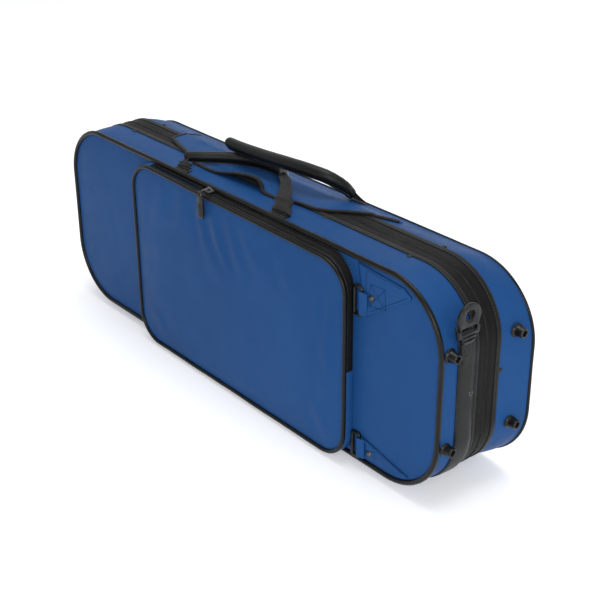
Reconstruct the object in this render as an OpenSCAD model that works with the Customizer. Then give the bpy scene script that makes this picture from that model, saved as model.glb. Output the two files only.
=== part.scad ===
// Oblong zip-up violin case, standing on its long spine.
// x runs along the case, y from the front pocket to the back panel, z up.
// Every sub-part is drawn about the zip line, then placed with the box's bottom centre at the origin.

/* [Case body] */
// length of the case over its fabric, mm
case_length = 790; // [650:5:950]
// height of the case as it stands on its spine, mm
case_height = 276; // [220:2:340]
// depth of the lid half, zip line to front panel, mm
lid_depth = 70; // [50:1:90]
// depth of the base half, zip line to back panel, mm
base_depth = 70; // [50:1:90]
// radius of the four big corners, mm
corner_radius = 84; // [50:1:105]
// thickness of the woven cover, mm
skin = 1.2; // [0.8:0.1:2]
// thickness of the stiff shell under the cover, mm
shell = 5; // [3:0.5:8]
// thickness of the plush lining, mm
lining = 2; // [1:0.5:4]

/* [Piping and zip] */
// radius of the fat piping round the front panel, mm
front_piping = 3.5; // [2:0.1:5]
// radius of the thin piping round the back panel, mm
back_piping = 2.2; // [1.5:0.1:4]
// half width of the whole zip band, mm
band_half = 22; // [16:1:28]
// width of the binding at each edge of the band, mm
binding = 7; // [4:0.5:10]
// width of half the zip coil, mm
coil = 2.4; // [1.5:0.1:4]
// gap left between the two halves at the zip line, each side, mm
parting = 0.3; // [0.2:0.1:1]

/* [Front pocket] */
// length of the pocket, mm
pocket_length = 447; // [300:1:600]
// height of the pocket, mm
pocket_height = 278; // [200:1:300]
// how far the pocket stands off the front panel, mm
pocket_depth = 16; // [8:1:40]
// corner radius of the pocket, mm
pocket_radius = 42; // [20:1:80]
// pocket centre along the case, mm
pocket_x = 24; // [-100:1:100]
// how far the pocket sags below the spine, mm
pocket_sag = 6; // [0:1:10]
// radius of the pocket piping, mm
pocket_piping_r = 2.8; // [2:0.1:4]

/* [Feet and studs] */
// height of a foot, mm
foot_height = 13; // [8:1:20]
// radius of a foot where it meets the cover, mm
foot_base = 8.5; // [6:0.5:12]
// radius of a foot at its tip, mm
foot_tip = 5.5; // [4:0.5:8]
// distance of the spine feet from the middle, along the case, mm
foot_x = 260; // [150:5:300]
// distance of the spine feet from the zip line, mm
foot_y = 40; // [28:1:55]
// distance of the end feet above and below mid height, mm
foot_z = 62; // [30:1:80]

/* [Handles and rings] */
// radius of the far grip, mm
far_grip_r = 9.5; // [7:0.5:13]
// radius of the near grip, mm
near_grip_r = 8; // [6:0.5:12]
// distance of the handle anchors from the middle, mm
anchor_x = 105; // [80:1:150]
// width of the handle webbing, mm
web = 26; // [20:1:35]
// radius of the round eye in each strap ring, mm
ring_eye = 7; // [5:0.5:9]
// radius of the bar a strap ring turns on, mm
ring_bar = 2; // [1.5:0.1:3]

/* [Inside] */
// radius of the bed round the wide end of the violin, mm
lower_bout = 107; // [90:1:115]
// radius of the bed round the narrow end of the violin, mm
upper_bout = 87; // [70:1:95]
// width of the channel for the neck, mm
neck_channel = 62; // [45:1:80]

/* [Hidden] */
$fn = 64;
eps = 0.01;
L2 = case_length / 2;
H = case_height;
yf = -lid_depth;
yb = base_depth;
tape_out = band_half - binding;
spine_cut = 6;
rb1 = front_piping + 0.5;
rb2 = back_piping + 0.4;
rb3 = pocket_piping_r + 0.4;
yp = yf - pocket_depth;
in1 = skin;
in2 = skin + shell;
in3 = skin + shell + lining;
pz0 = -pocket_sag;
pz1 = pz0 + pocket_height;
px0 = pocket_x - pocket_length / 2;
px1 = pocket_x + pocket_length / 2;
pmid = (yf + yp + rb3) / 2;
run = 0.08;
slider_zu = H * 0.62;
slider_zl = H * 0.38;
ring_z = H - 50;
ring_y = yf + 29;
ring_x = L2 + 5.6;
hang_z = H / 2 + 16;
lid_foot_y = yf + 13;
base_foot_y = yb - 27;
strip_y = lid_foot_y + foot_base + 2.5;
flap_y = yb - 23;
far_pin = yb - 18;
near_pin = yf + 17;
bed_front = 12;
lower_x = L2 - in3 - lower_bout - 11.8;
upper_x = lower_x - 166;
bay_x = 165 - L2;
box_x0 = bay_x - 62;
box_x1 = bay_x - 4;
box_z = H / 2 + 12;
box_h = H / 2 - 30;
cradle_x = (bay_x + upper_x - upper_bout) / 2 - 20.5;
clip_x = L2 - 145;
clip_z = [H / 2 - 43, H / 2 + 43];
tip_x = 50 - L2;
end_x = L2 + foot_height;
left_x = -(L2 + 8.4);
front_y = yp - 8.8;
back_y = yb + back_piping - 0.8;
ox = -(end_x + left_x) / 2;
oy = -(front_y + back_y) / 2;
oz = foot_height;

blue = [0.16, 0.32, 0.58];
black = [0.09, 0.09, 0.09];
grey = [0.35, 0.35, 0.36];

// ---- shapes used by several sub-parts ----

module place() { translate([ox, oy, oz]) children(); }

// rounded rectangle in x and z, bottom edge at z = in
module rr(l, h, r) {
  translate([-l / 2, r]) square([l, h - 2 * r]);
  translate([-l / 2 + r, 0]) square([l - 2 * r, h]);
  for (sx = [-1, 1], z = [r, h - r]) translate([sx * (l / 2 - r), z]) circle(r);
}

// the case outline taken in by d
module outline(d) { translate([0, d]) rr(case_length - 2 * d, H - 2 * d, corner_radius - d); }

module pocket_outline(d) {
  translate([pocket_x, pz0 + d])
    rr(pocket_length - 2 * d, pocket_height - 2 * d, pocket_radius - d);
}

// stand a flat x-z drawing up between two depths
module slab(y0, y1) { translate([0, y1, 0]) rotate([90, 0, 0]) linear_extrude(y1 - y0) children(); }

module band(d0, d1, y0, y1) {
  slab(y0, y1) difference() { outline(d0); outline(d1); }
}

// a round cord along a rounded rectangle at depth y
module cord_loop(l, h, r, z0, y, rc) {
  translate([0, y, z0]) {
    for (z = [0, h]) translate([0, 0, z]) rotate([0, 90, 0])
      cylinder(h = l - 2 * r, r = rc, center = true);
    for (s = [-1, 1]) translate([s * l / 2, 0, r]) cylinder(h = h - 2 * r, r = rc);
    for (q = [[1, 1, 0], [-1, 1, 90], [-1, -1, 180], [1, -1, 270]])
      translate([q[0] * (l / 2 - r), 0, h / 2 + q[1] * (h / 2 - r)])
        rotate([90, 0, 0]) rotate([0, 0, q[2]])
          rotate_extrude(angle = 90) translate([r, 0]) circle(rc);
  }
}

// keeps the part of a band above the spine, or the part on the spine
module above_spine() {
  difference() {
    children();
    translate([-L2 - 20, -100, -20]) cube([case_length + 40, 200, 20 + spine_cut]);
  }
}
module on_spine() {
  intersection() {
    children();
    translate([-L2 - 20, -100, -20]) cube([case_length + 40, 200, 20 + spine_cut - 0.5]);
  }
}

// one hollow rubber foot, base at the origin, tip along +z
module foot() {
  difference() {
    cylinder(h = foot_height, r1 = foot_base, r2 = foot_tip);
    translate([0, 0, foot_height - 6]) cylinder(h = 7, r = 3.2);
    translate([0, 0, -1]) cylinder(h = foot_height, r = 1.6);
  }
}
module foot_screw() {
  translate([0, 0, foot_height - 6]) cylinder(h = 2, r = 2.9);
  cylinder(h = foot_height - 6, r = 1.5);
}
// s = 1 for the base half, -1 for the lid half
module at_feet(s, ye) {
  for (x = [-foot_x, foot_x]) translate([x, s * foot_y, 0]) rotate([180, 0, 0]) children();
  for (d = [-foot_z, foot_z]) translate([L2, ye, H / 2 + d]) rotate([0, 90, 0]) children();
}

// a straight flat strap between two points, w wide along x, t thick
module strap(a, b, w, t) {
  d = b - a;
  len = norm([0, d[1], d[2]]);
  translate(a) rotate([atan2(d[2], d[1]), 0, 0])
    translate([-w / 2 + d[0] / 2, 0, -t / 2]) cube([w, len, t]);
}
module rod(a, b, r) {
  d = b - a;
  translate(a) rotate([0, acos(d[2] / norm(d)), atan2(d[1], d[0])]) cylinder(h = norm(d), r = r);
}

// ---- base half ----

module base_shell() color(grey) place() difference() {
  union() {
    slab(1.5, yb - rb2 - 0.4) outline(in1);
    slab(yb - rb2 - 0.4, yb - skin) outline(rb2);
  }
  slab(0, yb - skin - shell) outline(in2);
}
module base_back_panel() color(blue) place() slab(yb - skin, yb) outline(rb2);
module base_gusset() color(blue) place() band(0, skin, band_half, yb - rb2 - 0.4);
module base_piping() color(black) place() {
  d = rb2 - back_piping;
  cord_loop(case_length - 2 * d, H - 2 * d, corner_radius - d, d,
    yb - rb2 - 0.4 + back_piping, back_piping);
}
module base_binding() color(black) place() above_spine() band(-1, skin, tape_out, band_half);
module base_zip_tape() color(black) place() above_spine() band(0, skin, coil, tape_out);
module base_zip_coil() color(black) place() above_spine() band(-1.2, skin, parting, coil);
module base_spine_hinge() color(black) place() on_spine() band(0, skin, parting, band_half);
module base_lining() color(black) place() difference() {
  slab(3, yb - skin - shell) outline(in2);
  slab(2, yb - in3) outline(in3);
}

// foam block with a violin shaped hollow and an open bay at the scroll end
module violin_plan() {
  translate([lower_x, H / 2]) circle(lower_bout);
  translate([upper_x, H / 2]) circle(upper_bout);
  difference() {
    translate([upper_x + 8, H / 2 - 80]) square([lower_x - upper_x - 26, 160]);
    for (s = [-1, 1]) translate([(upper_x + lower_x) / 2 - 5, H / 2 + s * 98]) circle(38);
  }
}
module violin_bed() color(grey) place() difference() {
  slab(bed_front, yb - in3) outline(in3);
  slab(0, yb - in3 - 10) violin_plan();
  translate([bay_x - 10, 0, H / 2 - neck_channel / 2])
    cube([upper_x - bay_x - 32, yb - in3 - 6, neck_channel]);
  translate([-L2, 0, -1]) cube([L2 + bay_x, yb, H + 2]);
}
module neck_cradle() color(grey) place() difference() {
  translate([cradle_x, 24, H / 2 - neck_channel / 2])
    cube([40, yb - in3 - 6 - 24, neck_channel]);
  translate([cradle_x - 1, 24, H / 2]) rotate([0, 90, 0]) cylinder(h = 42, r = 17);
}
module neck_strap() color(black) place()
  translate([cradle_x + 10, bed_front - 2, H / 2 - neck_channel / 2 - 17])
    cube([20, 2, neck_channel + 34]);

// small lidded box in the bay, its lid hinged on the bed side
module accessory_box() color(grey) place() difference() {
  translate([box_x0, bed_front, box_z]) cube([box_x1 - box_x0, yb - in3 - bed_front, box_h]);
  translate([box_x0 + 3, bed_front - 1, box_z + 3])
    cube([box_x1 - box_x0 - 6, yb - in3 - bed_front - 2, box_h - 6]);
}
module accessory_lid() color(grey) place() {
  translate([box_x0, bed_front - 3.3, box_z]) cube([box_x1 - box_x0, 3, box_h]);
  translate([box_x0 - 9, bed_front - 3.3, box_z + box_h / 2 - 6]) cube([9.5, 1, 12]);
}

module base_feet() color(black) place() at_feet(1, base_foot_y) foot();
module base_foot_screws() color(grey) place() at_feet(1, base_foot_y) foot_screw();
module base_rim_rivets() color(black) place() {
  for (x = [115 - L2, L2 - 97]) translate([x, band_half + 2.7, H]) cylinder(h = 2, r = 2.6);
  translate([L2, band_half + 2.7, H / 2 + 14]) rotate([0, 90, 0]) cylinder(h = 2, r = 2.6);
}

// cover flap, sewn along its far edge, lying over the zip under the grips
flap_plan = [[-219, flap_y], [-222, -2], [-171, -14], [-113, -29], [60, -29], [104, -13],
  [132, -2], [154, 18], [184, 37], [196, flap_y]];
module flap_plate(g) {
  polygon([for (p = flap_plan) [p[0] - g * sign(p[0]) * (abs(p[0]) > 60 ? 1 : 0),
    p[1] + (p[1] < flap_y ? g * 0.6 : 0)]]);
}
module handle_flap() color(blue) place() {
  translate([0, 0, H + 3]) linear_extrude(1.4) flap_plate(4);
  translate([-210, flap_y - 6, H]) cube([395, 6, 3]);
}
module flap_binding() color(black) place() translate([0, 0, H + 3]) linear_extrude(1.4)
  difference() { flap_plate(0); flap_plate(4); translate([-250, flap_y - 0.1]) square([500, 5]); }
module base_handle_anchors() color(black) place()
  for (x = [-anchor_x, anchor_x]) translate([x - web / 2 - 2, far_pin + 3.5, H])
    cube([web + 4, 9, 1.6]);

// ---- lid half ----

module lid_shell() color(grey) place() difference() {
  union() {
    slab(yf + rb1, -1.5) outline(in1);
    slab(yf + skin, yf + rb1) outline(rb1);
  }
  slab(yf + skin + shell, 0) outline(in2);
}
module lid_front_panel() color(blue) place() slab(yf, yf + skin) outline(rb1);
module lid_gusset() color(blue) place() band(0, skin, yf + rb1, -band_half);
module lid_piping() color(black) place() {
  d = rb1 - front_piping;
  cord_loop(case_length - 2 * d, H - 2 * d, corner_radius - d, d,
    yf + rb1 - front_piping, front_piping);
}
module lid_binding() color(black) place() above_spine() band(-1, skin, -band_half, -tape_out);
module lid_zip_tape() color(black) place() above_spine() band(0, skin, -tape_out, -coil);
module lid_zip_coil() color(black) place() above_spine() band(-1.2, skin, -coil, -parting);
module lid_spine_hinge() color(black) place() on_spine() band(0, skin, -band_half, -parting);
module lid_lining() color(black) place() difference() {
  slab(yf + skin + shell, -3) outline(in2);
  slab(yf + in3, -2) outline(in3);
}
module lid_feet() color(black) place() at_feet(-1, lid_foot_y) foot();
module lid_foot_screws() color(grey) place() at_feet(-1, lid_foot_y) foot_screw();
module lid_rim_rivets() color(black) place()
  for (x = [110 - L2, L2 - 253, L2 - 104]) translate([x, -band_half - 2.7, H]) cylinder(h = 2, r = 2.6);
module lid_handle_anchors() color(black) place()
  for (x = [-anchor_x, anchor_x]) translate([x - web / 2 - 2, yf + rb1, H])
    cube([web + 4, near_pin - 3.5 - yf - rb1, 1.6]);

// smooth strip down each end that the strap ring sits on, with an eyelet on the near one
module end_strip() intersection() {
  band(-1.5, 0, strip_y, -band_half);
  translate([L2 - corner_radius, -100, spine_cut]) cube([200, 100, H - 38 - spine_cut]);
}
module end_strips() color(black) place() {
  end_strip();
  mirror([1, 0, 0]) end_strip();
  translate([L2 + 1.5, -band_half - 4, H / 2]) rotate([0, 90, 0]) difference() {
    cylinder(h = 1, r = 3);
    translate([0, 0, 0.4]) cylinder(h = 1, r = 1.5);
  }
}
// webbing and moulded keeper that holds the bar of each strap ring
module strap_keeper() difference() {
  union() {
    translate([L2 + 1.5, ring_y - 11.5, ring_z - 12]) cube([6.9, 23, 15]);
    translate([L2 + 1.5, ring_y - 7, H - corner_radius - 10])
      cube([1.6, 18.5, ring_z - H + corner_radius]);
  }
  translate([ring_x, ring_y - 20, ring_z]) rotate([-90, 0, 0])
    cylinder(h = 40, r = ring_bar + run);
}
// the ring at the far end hangs down, so its keeper is turned over and sits lower
module hung() { translate([0, 0, ring_z + hang_z]) mirror([1, 0, 0]) mirror([0, 0, 1]) children(); }
module strap_keepers() color(black) place() {
  strap_keeper();
  hung() strap_keeper();
}

// two folded fabric tabs sewn into the front seam, each with a sleeve for its ring
tab_x = px1 + 16.5;
tab_y = yf - 3.8;
// points inside the round corners, and part of the way from a tab's fold to the corner
function corner(a, d) = [L2 - corner_radius + (corner_radius - d) * cos(a),
  H - corner_radius + (corner_radius - d) * sin(a)];
function under(a, d) = [corner(a, d)[0], H - corner(a, d)[1]];
function tab_reach(f) = tab_x + 4 + f * (L2 - 53 - tab_x);
upper_z = [H - 68, H - 38];
lower_z = [9, 36];
module sleeve(z0, z1) {
  translate([tab_x, tab_y, z0]) difference() {
    union() {
      cylinder(h = z1 - z0, r = 3.6);
      translate([0, 1.6, 0]) cube([6, 2.2, z1 - z0]);
    }
    translate([0, 0, -1]) cylinder(h = z1 - z0 + 2, r = 1.8 + run);
  }
}
module pack_tabs() color(blue) place() {
  slab(yf - 2, yf) polygon([[tab_x + 4, H - 68], [tab_x + 4, H - 7], [tab_reach(0.41), H - 7],
    corner(71.6, 8.1), corner(64.5, 12), [tab_x + 8, H - 68]]);
  slab(yf - 2, yf) polygon([[tab_x + 4, 9], [tab_x + 4, 36], [tab_x + 12, 32],
    under(62.4, 8.4), under(69.7, 6.2), [tab_reach(0.61), 8]]);
  sleeve(upper_z[0], upper_z[1]);
  sleeve(lower_z[0], lower_z[1]);
}
module tab_rivets() color(grey) place() for (p = [[tab_x + 16, H - 42], [tab_x + 17, 19]])
  translate([p[0], yf - 2, p[1]]) rotate([90, 0, 0]) {
    cylinder(h = 0.8, r = 3.8);
    cylinder(h = 1.8, r1 = 3, r2 = 1.6);
  }
// open rectangular ring that turns in the sleeve
module pack_ring(z0, z1) {
  a = z0 - 3; b = z1 + 3; x = tab_x - 12.2;
  translate([tab_x, tab_y, a]) cylinder(h = b - a, r = 1.8);
  translate([x, tab_y, a]) cylinder(h = b - a, r = 1.8);
  for (z = [a + 0.9, b - 0.9]) translate([x, tab_y - 1.2, z - 0.9]) cube([tab_x - x, 2.4, 1.8]);
}
module pack_ring_upper() color(black) place() pack_ring(upper_z[0], upper_z[1]);
module pack_ring_lower() color(black) place() pack_ring(lower_z[0], lower_z[1]);

// turning clips and tip sleeves that hold two bows inside the lid
module bow_clip_blocks() color(grey) place() for (z = clip_z) difference() {
  translate([clip_x - 16, yf + in3, z - 10]) cube([32, 14, 20]);
  translate([clip_x, yf + in3 + 4, z]) rotate([-90, 0, 0]) cylinder(h = 20, r = 2.5 + run);
}
module bow_clip(z) {
  translate([clip_x, yf + in3 + 5, z]) rotate([-90, 0, 0]) cylinder(h = 10, r = 2.5);
  translate([clip_x - 20, yf + in3 + 14.3, z - 5]) cube([40, 3, 10]);
}
module bow_clip_upper() color(black) place() bow_clip(clip_z[1]);
module bow_clip_lower() color(black) place() bow_clip(clip_z[0]);
module bow_tip_sleeves() color(black) place() for (z = clip_z) difference() {
  translate([tip_x, yf + in3, z - 14]) cube([62, 13, 28]);
  translate([tip_x + 2, yf + in3 + 1.5, z - 12]) cube([62, 10, 24]);
}

// ---- front pocket ----

// the stretch of the pocket side that carries the zip: along the top and down the right
module pocket_zip_zone() {
  translate([px0 + 36, yp - 10, pz1 - pocket_radius]) cube([pocket_length, 40, 60]);
  translate([px1 - pocket_radius, yp - 10, pz0 + 128]) cube([60, 40, pocket_height - 128]);
}
module pocket_front() color(blue) place() slab(yp, yp + skin) pocket_outline(rb3);
module pocket_piping() color(black) place() translate([pocket_x, 0, 0]) {
  d = rb3 - pocket_piping_r;
  cord_loop(pocket_length - 2 * d, pocket_height - 2 * d, pocket_radius - d, pz0 + d,
    yp + rb3 - pocket_piping_r, pocket_piping_r);
}
module pocket_band(d0, d1, y0, y1) slab(y0, y1) difference() { pocket_outline(d0); pocket_outline(d1); }
// the gusset is notched where it passes over the piping at the spine
module pocket_gusset() color(blue) place() difference() {
  pocket_band(0, skin, yp + rb3, yf);
  pocket_zip_zone();
  translate([px0 - 5, yf - front_piping - 0.1, -front_piping])
    cube([pocket_length + 10, front_piping + 1, 2 * front_piping + 1]);
}
module pocket_mouth() translate([px0 + 42, pmid - 2.7, pz1 - 8]) cube([126, 5.4, 20]);
module pocket_zip_tape() color(black) place() difference() {
  intersection() { pocket_band(0, skin, yp + rb3, yf); pocket_zip_zone(); }
  pocket_band(-2, skin + 1, pmid - 1.8, pmid + 1.8);
  pocket_mouth();
}
module pocket_zip_coil() color(black) place() difference() {
  intersection() { pocket_band(-1.2, skin, pmid - 1.8, pmid + 1.8); pocket_zip_zone(); }
  translate([px0, -200, pz1 - 20]) cube([168, 200, 60]);
}
// slider of the pocket zip, with the bar its pull hangs from
psx = px0 + 172;
module pocket_slider() color(black) place() {
  translate([psx - 6, yp - 4.2, pz1 + 3]) cube([12, pmid + 3.4 - yp + 4.2, 1.8]);
  for (s = [-1, 1]) translate([psx - 6, pmid + s * 2.7 - 0.6, pz1 + 0.2]) cube([12, 1.2, 3]);
  for (s = [-1, 1]) translate([psx + s * 5 - 1, yp - 7.6, pz1 + 3]) cube([2, 4.5, 1.8]);
  translate([psx - 5, yp - 6.6, pz1 + 3.9]) rotate([0, 90, 0]) cylinder(h = 10, r = 0.9);
}
module pocket_pull() color(black) place() translate([psx, yp - 6.6, pz1 + 3.9]) difference() {
  union() {
    translate([-3.4, 0, 0]) rotate([0, 90, 0]) cylinder(h = 6.8, r = 2.2);
    translate([-3.4, -0.9, -8]) cube([6.8, 1.8, 8]);
    translate([-5, -0.9, -36]) cube([10, 1.8, 29]);
  }
  translate([-6, 0, 0]) rotate([0, 90, 0]) cylinder(h = 12, r = 0.9 + run);
}

// ---- main zip sliders, parked on the far end ----

module zip_slider(z) translate([-L2, 0, z]) {
  translate([-3.6, -4.6, -8]) cube([1.8, 9.2, 16]);
  translate([-3.6, coil + 0.3, -8]) cube([3.4, 1.2, 16]);
  for (s = [-1, 1]) translate([-6.8, s * 3.6 - 0.8, -6.4]) cube([3.4, 1.6, 2.8]);
  translate([-5.9, -3.6, -5]) rotate([-90, 0, 0]) cylinder(h = 7.2, r = 0.9);
}
module zip_pull(z) translate([-L2 - 5.9, 0, z - 5]) difference() {
  union() {
    translate([0, -2.4, 0]) rotate([-90, 0, 0]) cylinder(h = 4.8, r = 2.2);
    translate([-0.9, -2.4, -8]) cube([1.8, 4.8, 8]);
    translate([-0.9, -4.5, -34]) cube([1.8, 9, 27]);
  }
  translate([0, -4, 0]) rotate([-90, 0, 0]) cylinder(h = 8, r = 0.9 + run);
}
module zip_slider_upper() color(black) place() zip_slider(slider_zu);
module zip_slider_lower() color(black) place() zip_slider(slider_zl);
module zip_pull_upper() color(black) place() zip_pull(slider_zu);
module zip_pull_lower() color(black) place() zip_pull(slider_zl);

// ---- handles ----

hz = H + 5;
far_a = [5 - anchor_x, far_pin - 40, H + 31];
far_b = [anchor_x + 15, far_pin - 42, H + 40];
near_a = [-anchor_x - 1, near_pin + 11, H + 18];
near_b = [2, near_pin + 37, H + 17];
module far_rod(r) rod(far_a, far_b, r);
module near_rod(r) rod(near_a, near_b, r);
module far_grip() color(black) place() far_rod(far_grip_r);
module far_webbing() color(black) place() difference() {
  union() for (s = [-1, 1]) {
    translate([s * anchor_x - web / 2, far_pin, hz]) rotate([0, 90, 0]) cylinder(h = web, r = 1.8);
    strap([s * anchor_x, far_pin, hz],
      [s * anchor_x + (s > 0 ? 4 : 8), far_pin - 41, H + (s > 0 ? 39 : 31)], web, 2.4);
  }
  far_rod(far_grip_r);
}
module near_grip() color(black) place() near_rod(near_grip_r);
module near_webbing() color(black) place() difference() {
  union() {
    for (s = [-1, 1]) translate([s * anchor_x - web / 2, near_pin, hz]) rotate([0, 90, 0])
      cylinder(h = web, r = 1.8);
    strap([-anchor_x, near_pin, hz], [-anchor_x + 16, near_pin + 13, H + 19], web, 2.4);
    hull() {
      translate([anchor_x - web / 2, near_pin - 1, hz - 1.2]) cube([web, 2, 2.4]);
      translate([near_b[0] - 16, near_b[1] - 10, near_b[2] - 1.2]) cube([8, 20, 2.4]);
    }
  }
  near_rod(near_grip_r);
}

// ---- strap rings ----

module strap_ring() translate([ring_x, ring_y, ring_z]) {
  translate([0, -17, 0]) rotate([-90, 0, 0]) cylinder(h = 34, r = ring_bar);
  translate([2, 0, 0]) rotate([90, 0, -90]) linear_extrude(4) difference() {
    union() {
      translate([0, 20]) circle(18);
      polygon([[-17, -2], [17, -2], [18, 20], [-18, 20]]);
    }
    translate([0, 23]) circle(ring_eye);
    translate([-12.2, -5]) square([24.4, 15]);
  }
}
module strap_ring_right() color(black) place() strap_ring();
module strap_ring_left() color(black) place() hung() strap_ring();

base_shell();
base_back_panel();
base_gusset();
base_piping();
base_binding();
base_zip_tape();
base_zip_coil();
base_spine_hinge();
base_lining();
violin_bed();
neck_cradle();
neck_strap();
accessory_box();
base_feet();
base_foot_screws();
base_rim_rivets();
handle_flap();
flap_binding();
base_handle_anchors();
lid_shell();
lid_front_panel();
lid_gusset();
lid_piping();
lid_binding();
lid_zip_tape();
lid_zip_coil();
lid_spine_hinge();
lid_lining();
lid_feet();
lid_foot_screws();
lid_rim_rivets();
lid_handle_anchors();
end_strips();
strap_keepers();
pack_tabs();
tab_rivets();
bow_clip_blocks();
bow_tip_sleeves();
pocket_front();
pocket_piping();
pocket_gusset();
pocket_zip_tape();
pocket_zip_coil();
far_grip();
far_webbing();
near_grip();
near_webbing();
strap_ring_right();
strap_ring_left();
pack_ring_upper();
pack_ring_lower();
pocket_slider();
pocket_pull();
zip_slider_upper();
zip_slider_lower();
zip_pull_upper();
zip_pull_lower();
bow_clip_upper();
bow_clip_lower();
accessory_lid();
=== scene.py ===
# %% [markdown]
# # An oblong violin case that stands on its long spine
# A case like this is two shallow trays of stiff board, covered in woven nylon, lined in plush
# and joined along the spine by a strip of the same cloth. A zip runs round the other three sides.
# The CAD model says where everything is. This notebook sews the cloth, webbing and trim over it.

# %% Load the frame
import math
import bmesh
import bpy
import numpy as np
from mathutils import Matrix, Vector, noise


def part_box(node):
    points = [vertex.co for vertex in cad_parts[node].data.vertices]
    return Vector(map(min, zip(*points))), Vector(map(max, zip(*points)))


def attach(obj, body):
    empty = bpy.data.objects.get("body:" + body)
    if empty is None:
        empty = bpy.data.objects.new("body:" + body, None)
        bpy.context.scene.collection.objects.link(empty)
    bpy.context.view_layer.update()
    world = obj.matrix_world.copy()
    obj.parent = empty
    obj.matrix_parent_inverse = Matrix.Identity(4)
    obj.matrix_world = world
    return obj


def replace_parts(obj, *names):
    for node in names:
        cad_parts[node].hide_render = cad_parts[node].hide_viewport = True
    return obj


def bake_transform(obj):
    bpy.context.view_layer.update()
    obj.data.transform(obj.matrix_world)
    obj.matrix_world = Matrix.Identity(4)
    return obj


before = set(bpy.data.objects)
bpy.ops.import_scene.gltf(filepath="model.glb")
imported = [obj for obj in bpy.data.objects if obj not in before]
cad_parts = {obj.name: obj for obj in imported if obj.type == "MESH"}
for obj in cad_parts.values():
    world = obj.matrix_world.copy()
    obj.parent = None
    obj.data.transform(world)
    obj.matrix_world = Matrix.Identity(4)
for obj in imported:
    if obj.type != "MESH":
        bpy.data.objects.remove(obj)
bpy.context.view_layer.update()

# %% [markdown]
# ## Where things are
# All measures below are millimetres about one point: the middle of the case's length, the zip line,
# and the outer face of the spine. That point comes from two CAD nodes, so nothing is fitted by eye.

# %% Find the zip line and the spine
cover_low, cover_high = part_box("base_gusset")
PARTING = 0.3   # the coil of the base starts this far behind the zip line
ZERO = Vector(((cover_low.x + cover_high.x) / 2,
               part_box("base_zip_coil")[0].y - PARTING / 1000, cover_low.z))
LENGTH = (cover_high.x - cover_low.x) * 1000
HEIGHT = (cover_high.z - cover_low.z) * 1000
FRONT = (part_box("lid_front_panel")[0].y - ZERO.y) * 1000
BACK = (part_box("base_back_panel")[1].y - ZERO.y) * 1000
END = LENGTH / 2
SPINE_CUT = 6   # the zip band stops this far above the spine
CORNER = 84     # radius of the four corners
HALVES = (("lid", -1), ("base", 1))


def place(points):
    """Turns millimetres about the zip line into metres in the shared frame."""
    return np.asarray(points, float).reshape(-1, 3) / 1000 + np.array(ZERO)


def new_object(name, data):
    obj = bpy.data.objects.new(name, data)
    bpy.context.scene.collection.objects.link(obj)
    return obj


print("cover", round(LENGTH), "x", round(HEIGHT), "mm, panels at", round(FRONT), round(BACK))

# %% [markdown]
# ## Camera
# The case is seen from its right front corner, from a little above, through a long lens.

# %% Set the camera
AZIMUTH, ELEVATION, ROLL = (math.radians(a) for a in (51.47, 26.10, -1.07))
CAMERA_AWAY = 1.70415
aim = Vector((ZERO.x, ZERO.y - 0.002, ZERO.z + HEIGHT / 2000))
back_way = Vector((math.sin(AZIMUTH) * math.cos(ELEVATION),
                   -math.cos(AZIMUTH) * math.cos(ELEVATION), math.sin(ELEVATION)))
across = (-back_way).cross(Vector((0, 0, 1))).normalized()
upward = across.cross(-back_way)
side_way = across * math.cos(ROLL) + upward * math.sin(ROLL)
top_way = upward * math.cos(ROLL) - across * math.sin(ROLL)
camera = new_object("camera", bpy.data.cameras.new("camera"))
turn = Matrix((side_way, top_way, back_way)).transposed().to_4x4()
camera.matrix_world = Matrix.Translation(aim + back_way * CAMERA_AWAY) @ turn
for setting, value in (("lens", 74.04), ("sensor_width", 36), ("shift_x", 0.0524),
                       ("shift_y", -0.0425), ("clip_end", 60)):
    setattr(camera.data, setting, value)
bpy.context.scene.camera = camera
bpy.context.scene.view_settings.view_transform = "Standard"
print("camera at", [round(c, 3) for c in camera.location])

# %% [markdown]
# ## Floor and light
# A plain pale floor that curves up behind, and big soft lamps as in a small product studio:
# one at the front corner, one above, one at the end, and a pale room all round.


# %% Lay the floor and hang the lamps
def studio_floor():
    bend, reach, rise = 1.6, 5.0, 5.0
    line = [(-6.0, 0.0), (reach, 0.0)]
    line += [(reach + bend * math.sin(a), bend - bend * math.cos(a))
             for a in np.linspace(0.1, math.pi / 2, 12)]
    line += [(reach + bend, bend + rise)]
    verts = [(x, y, z) for y, z in line for x in (-9.0, 9.0)]
    faces = [(2 * i, 2 * i + 1, 2 * i + 3, 2 * i + 2) for i in range(len(line) - 1)]
    mesh = bpy.data.meshes.new("floor")
    mesh.from_pydata(verts, [], faces)
    mesh.shade_smooth()
    floor = new_object("floor", mesh)
    floor.rotation_euler = (0, 0, AZIMUTH)
    paint = bpy.data.materials.new("white_backdrop")
    paint.use_nodes = True
    shader = paint.node_tree.nodes["Principled BSDF"].inputs
    for socket, value in (("Base Color", (0.84, 0.85, 0.86, 1)), ("Roughness", 0.9),
                          ("Specular IOR Level", 0.1), ("Emission Color", (1, 1, 1, 1)),
                          ("Emission Strength", 0.26)):
        shader[socket].default_value = value
    mesh.materials.append(paint)


def lamp(name, at, toward, size, watts):
    data = bpy.data.lights.new(name, "AREA")
    data.energy, data.size = watts, size
    obj = new_object(name, data)
    obj.location = at
    obj.rotation_euler = (Vector(toward) - Vector(at)).to_track_quat("-Z", "Y").to_euler()


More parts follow.
